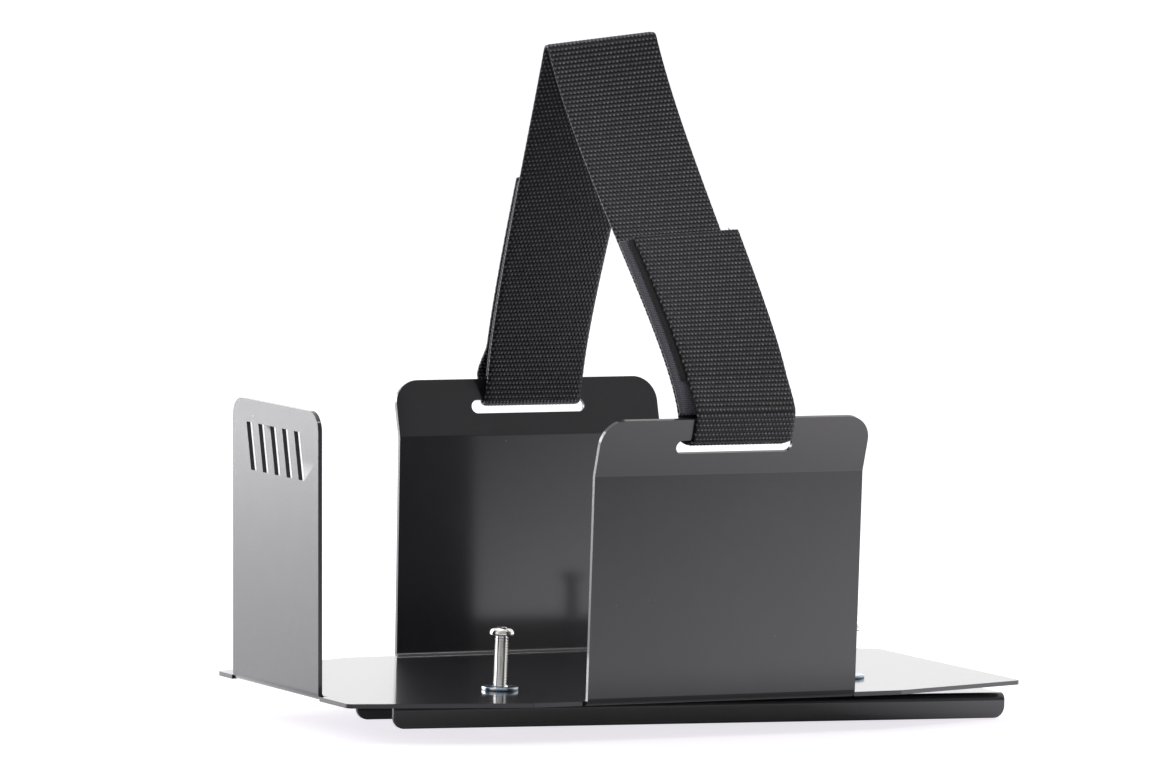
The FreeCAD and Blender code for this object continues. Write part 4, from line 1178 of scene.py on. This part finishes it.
class RACK_OT_nuts_washers(bpy.types.Operator):
    """Makes the zinc-plated washers on the floor and the hex nuts under the channel"""
    bl_idname = "rack.nuts_washers"
    bl_label = "Nuts and washers"

    def execute(self, context):
        settings = context.scene.rack_fasteners
        zinc = steel_material("zinc_plate", (0.70, 0.72, 0.75), 0.22, tint=(0.42, 0.58, 0.78))
        bore = settings.thread_radius + 0.4 * MM
        soft = 0.3 * MM
        edge = 0.1 * MM
        for name in SIDES:
            low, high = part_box("washer_" + name)
            radius = (high.x - low.x) / 2
            thick = high.z - low.z
            profile = [(bore + edge, 0), (radius - edge, 0), (radius, 1.2 * edge),
                       (radius, thick - soft), (radius - 0.3 * soft, thick - 0.3 * soft),
                       (radius - soft, thick), (bore + 1.5 * edge, thick),
                       (bore, thick - 1.5 * edge), (bore, edge)]
            place = Matrix.Translation(((low.x + high.x) / 2, (low.y + high.y) / 2, low.z))
            washer = turned_ring("plated_washer_" + name, profile, 96, zinc, place)
            finish_piece(sharpen(washer, math.radians(60)), "zinc", "washer_" + name)
            nut = self.make_nut("plated_nut_" + name, "nut_" + name, settings, zinc)
            finish_piece(sharpen(nut, math.radians(25)), "zinc", "nut_" + name)
        return {"FINISHED"}

    def make_nut(self, name, node, settings, material):
        """A hex nut with chamfered corners and a threaded bore's mouth."""
        low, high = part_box(node)
        flats = (high.y - low.y) / 2
        corner = flats / math.cos(math.pi / 6)
        tall = 5.56 * MM
        bore = settings.thread_radius + 0.05 * MM
        mouth = 0.4 * MM
        face = flats - 0.25 * MM
        chamfer = 0.75 * MM
        around = 48
        bm = bmesh.new()
        rings = [make(bm, around, reach, z) for make, reach, z in (
            (circle_ring, bore, mouth), (circle_ring, bore + mouth, 0),
            (circle_ring, face, 0), (hexagon_ring, corner, chamfer),
            (hexagon_ring, corner, tall - chamfer), (circle_ring, face, tall),
            (circle_ring, bore + mouth, tall), (circle_ring, bore, tall - mouth))]
        join_rings(bm, rings + rings[:1])
        bmesh.ops.recalc_face_normals(bm, faces=bm.faces)
        centre = (low + high) / 2
        place = Matrix.Translation(centre) @ Matrix.Rotation(settings.tilt, 4, "Y")
        bmesh.ops.transform(bm, matrix=place @ Matrix.Translation((0, 0, -tall / 2)),
                            verts=bm.verts)
        return new_piece(name, bm, [material])


class RACK_OT_strap(bpy.types.Operator):
    """Weaves the strap along its line, from the front end over the peak to the rear end"""
    bl_idname = "rack.strap"
    bl_label = "Strap"

    def execute(self, context):
        strap = context.scene.rack_strap
        stations, length = even_stations(
            strap_stations(strap.thickness, strap.tape_thickness), strap.rib_pitch / 2)

        def lift(i, j):
            """Rows stand up at every other station, staggered from row to row."""
            if i % 2:
                return 0.0
            return strap.relief * (0.45 + 0.55 * ((i // 2 + j) % 2))

        bm = band_mesh(stations, strap.width, strap.thickness, strap.columns, lift)
        piece = new_piece("woven_strap", bm, [webbing_material(strap)])
        finish_piece(piece, "webbing", "strap")
        stitches = make_stitches(strap)
        return {"FINISHED"}


SEAM_INSET = 3.0 * MM
SEAM_RISE = 0.06 * MM


def make_stitches(strap):
    """The seams that hold the tapes, on the outer face of both doubled ends."""
    web, tape = strap.thickness, strap.tape_thickness
    outer = web + 2 * tape + 3 * SEAT + web / 2 + SEAM_RISE
    across = strap.tape_width / 2 - SEAM_INSET
    bm = bmesh.new()
    for side, leg in LEGS.items():
        for inset in (-across, across):
            line = taped_stations(side, outer, leg["skew"] + inset, web)
            verts = [bm.verts.new(station[0]) for station in line]
            for a, b in zip(verts, verts[1:]):
                bm.edges.new((a, b))
    mesh = bpy.data.meshes.new("seam_lines")
    bm.to_mesh(mesh)
    bm.free()
    piece = grown("strap_seams", make_stitch_tree(), mesh, Pitch=3.4 * MM, Length=2.6 * MM,
                  Thread_Radius=0.24 * MM, Material=thread_material())
    finish_piece(piece, "webbing")
    return piece


class RACK_OT_tapes(bpy.types.Operator):
    """Makes the hook and loop tapes between each leg and its doubled end"""
    bl_idname = "rack.tapes"
    bl_label = "Tapes"

    def execute(self, context):
        strap = context.scene.rack_strap
        loop = tape_material("loop_pile", (0.125, 0.120, 0.155), True)
        hook = tape_material("hook_rows", (0.012, 0.012, 0.014), False)
        web, tape = strap.thickness, strap.tape_thickness
        columns = 24
        row_step = 0.8 * MM
        row_lift = 0.09 * MM

        def lift(i, j):
            return row_lift * (i % 2)

        for name, side in ENDS:
            for layer, (kind, material) in enumerate((("loop_tape", loop), ("hook_tape", hook))):
                distance = web / 2 + SEAT + tape / 2 + layer * (tape + SEAT)
                # On the front leg the black hook tape stands out past the doubled end as a painted
                # shadow
                skew = layer * (LEGS[side]["skew"] - HOOK_SHIFT_FOR_PAINTED_SHADOW[side])
                line = taped_stations(side, distance, skew, web)
                if layer == 0:
                    line = self.low_stations(side, distance, web) + line
                stations = even_stations(line, row_step)[0]
                width = strap.width if layer == 0 else strap.tape_width
                bm = band_mesh(stations, width, tape, columns, lift)
                piece = new_piece("woven_%s_%s" % (kind, name), bm, [material])
                finish_piece(piece, kind, "%s_%s" % (kind, name))
        return {"FINISHED"}

    def low_stations(self, side, distance, web):
        """Stations from just over the lip up to where the doubled end meets its leg."""
        join = joined_span(side, web)[0]
        steps = 30
        stations = []
        for k in range(steps):
            point, slope = leg_station(side, join * k / steps, web)
            if point.z > LIP_TOP + LIP_PASS:
                station = station_frame(point, slope, side)
                stations.append(moved_out(station, side, distance))
        return stations


OPERATORS = (RACK_OT_camera, RACK_OT_stage, RACK_OT_sheet_metal, RACK_OT_screws,
             RACK_OT_nuts_washers, RACK_OT_strap, RACK_OT_tapes)
SETTINGS = (("rack_coat", CoatSettings), ("rack_fasteners", FastenerSettings),
            ("rack_strap", StrapSettings), ("rack_view", ViewSettings))


class RACK_PT_panel(bpy.types.Panel):
    """Lists the steps that dress the rack"""
    bl_idname = "RACK_PT_panel"
    bl_label = "Cooler Rack"
    bl_space_type = "VIEW_3D"
    bl_region_type = "UI"
    bl_category = "Cooler Rack"

    def draw(self, context):
        for operator in OPERATORS:
            self.layout.operator(operator.bl_idname)


def register():
    for name, group in SETTINGS:
        bpy.utils.register_class(group)
        setattr(bpy.types.Scene, name, PointerProperty(type=group))
    for kind in (*OPERATORS, RACK_PT_panel):
        bpy.utils.register_class(kind)


def unregister():
    for kind in reversed((*OPERATORS, RACK_PT_panel)):
        bpy.utils.unregister_class(kind)
    for name, group in reversed(SETTINGS):
        delattr(bpy.types.Scene, name)
        bpy.utils.unregister_class(group)


def main():
    register()
    make_dust_group()
    make_grain_group()
    make_weave_group()
    bpy.ops.rack.camera()
    bpy.ops.rack.stage()
    bpy.ops.rack.sheet_metal()
    bpy.ops.rack.screws()
    bpy.ops.rack.nuts_washers()
    bpy.ops.rack.strap()
    bpy.ops.rack.tapes()
    bpy.context.view_layer.update()


if __name__ == "__main__":
    main()
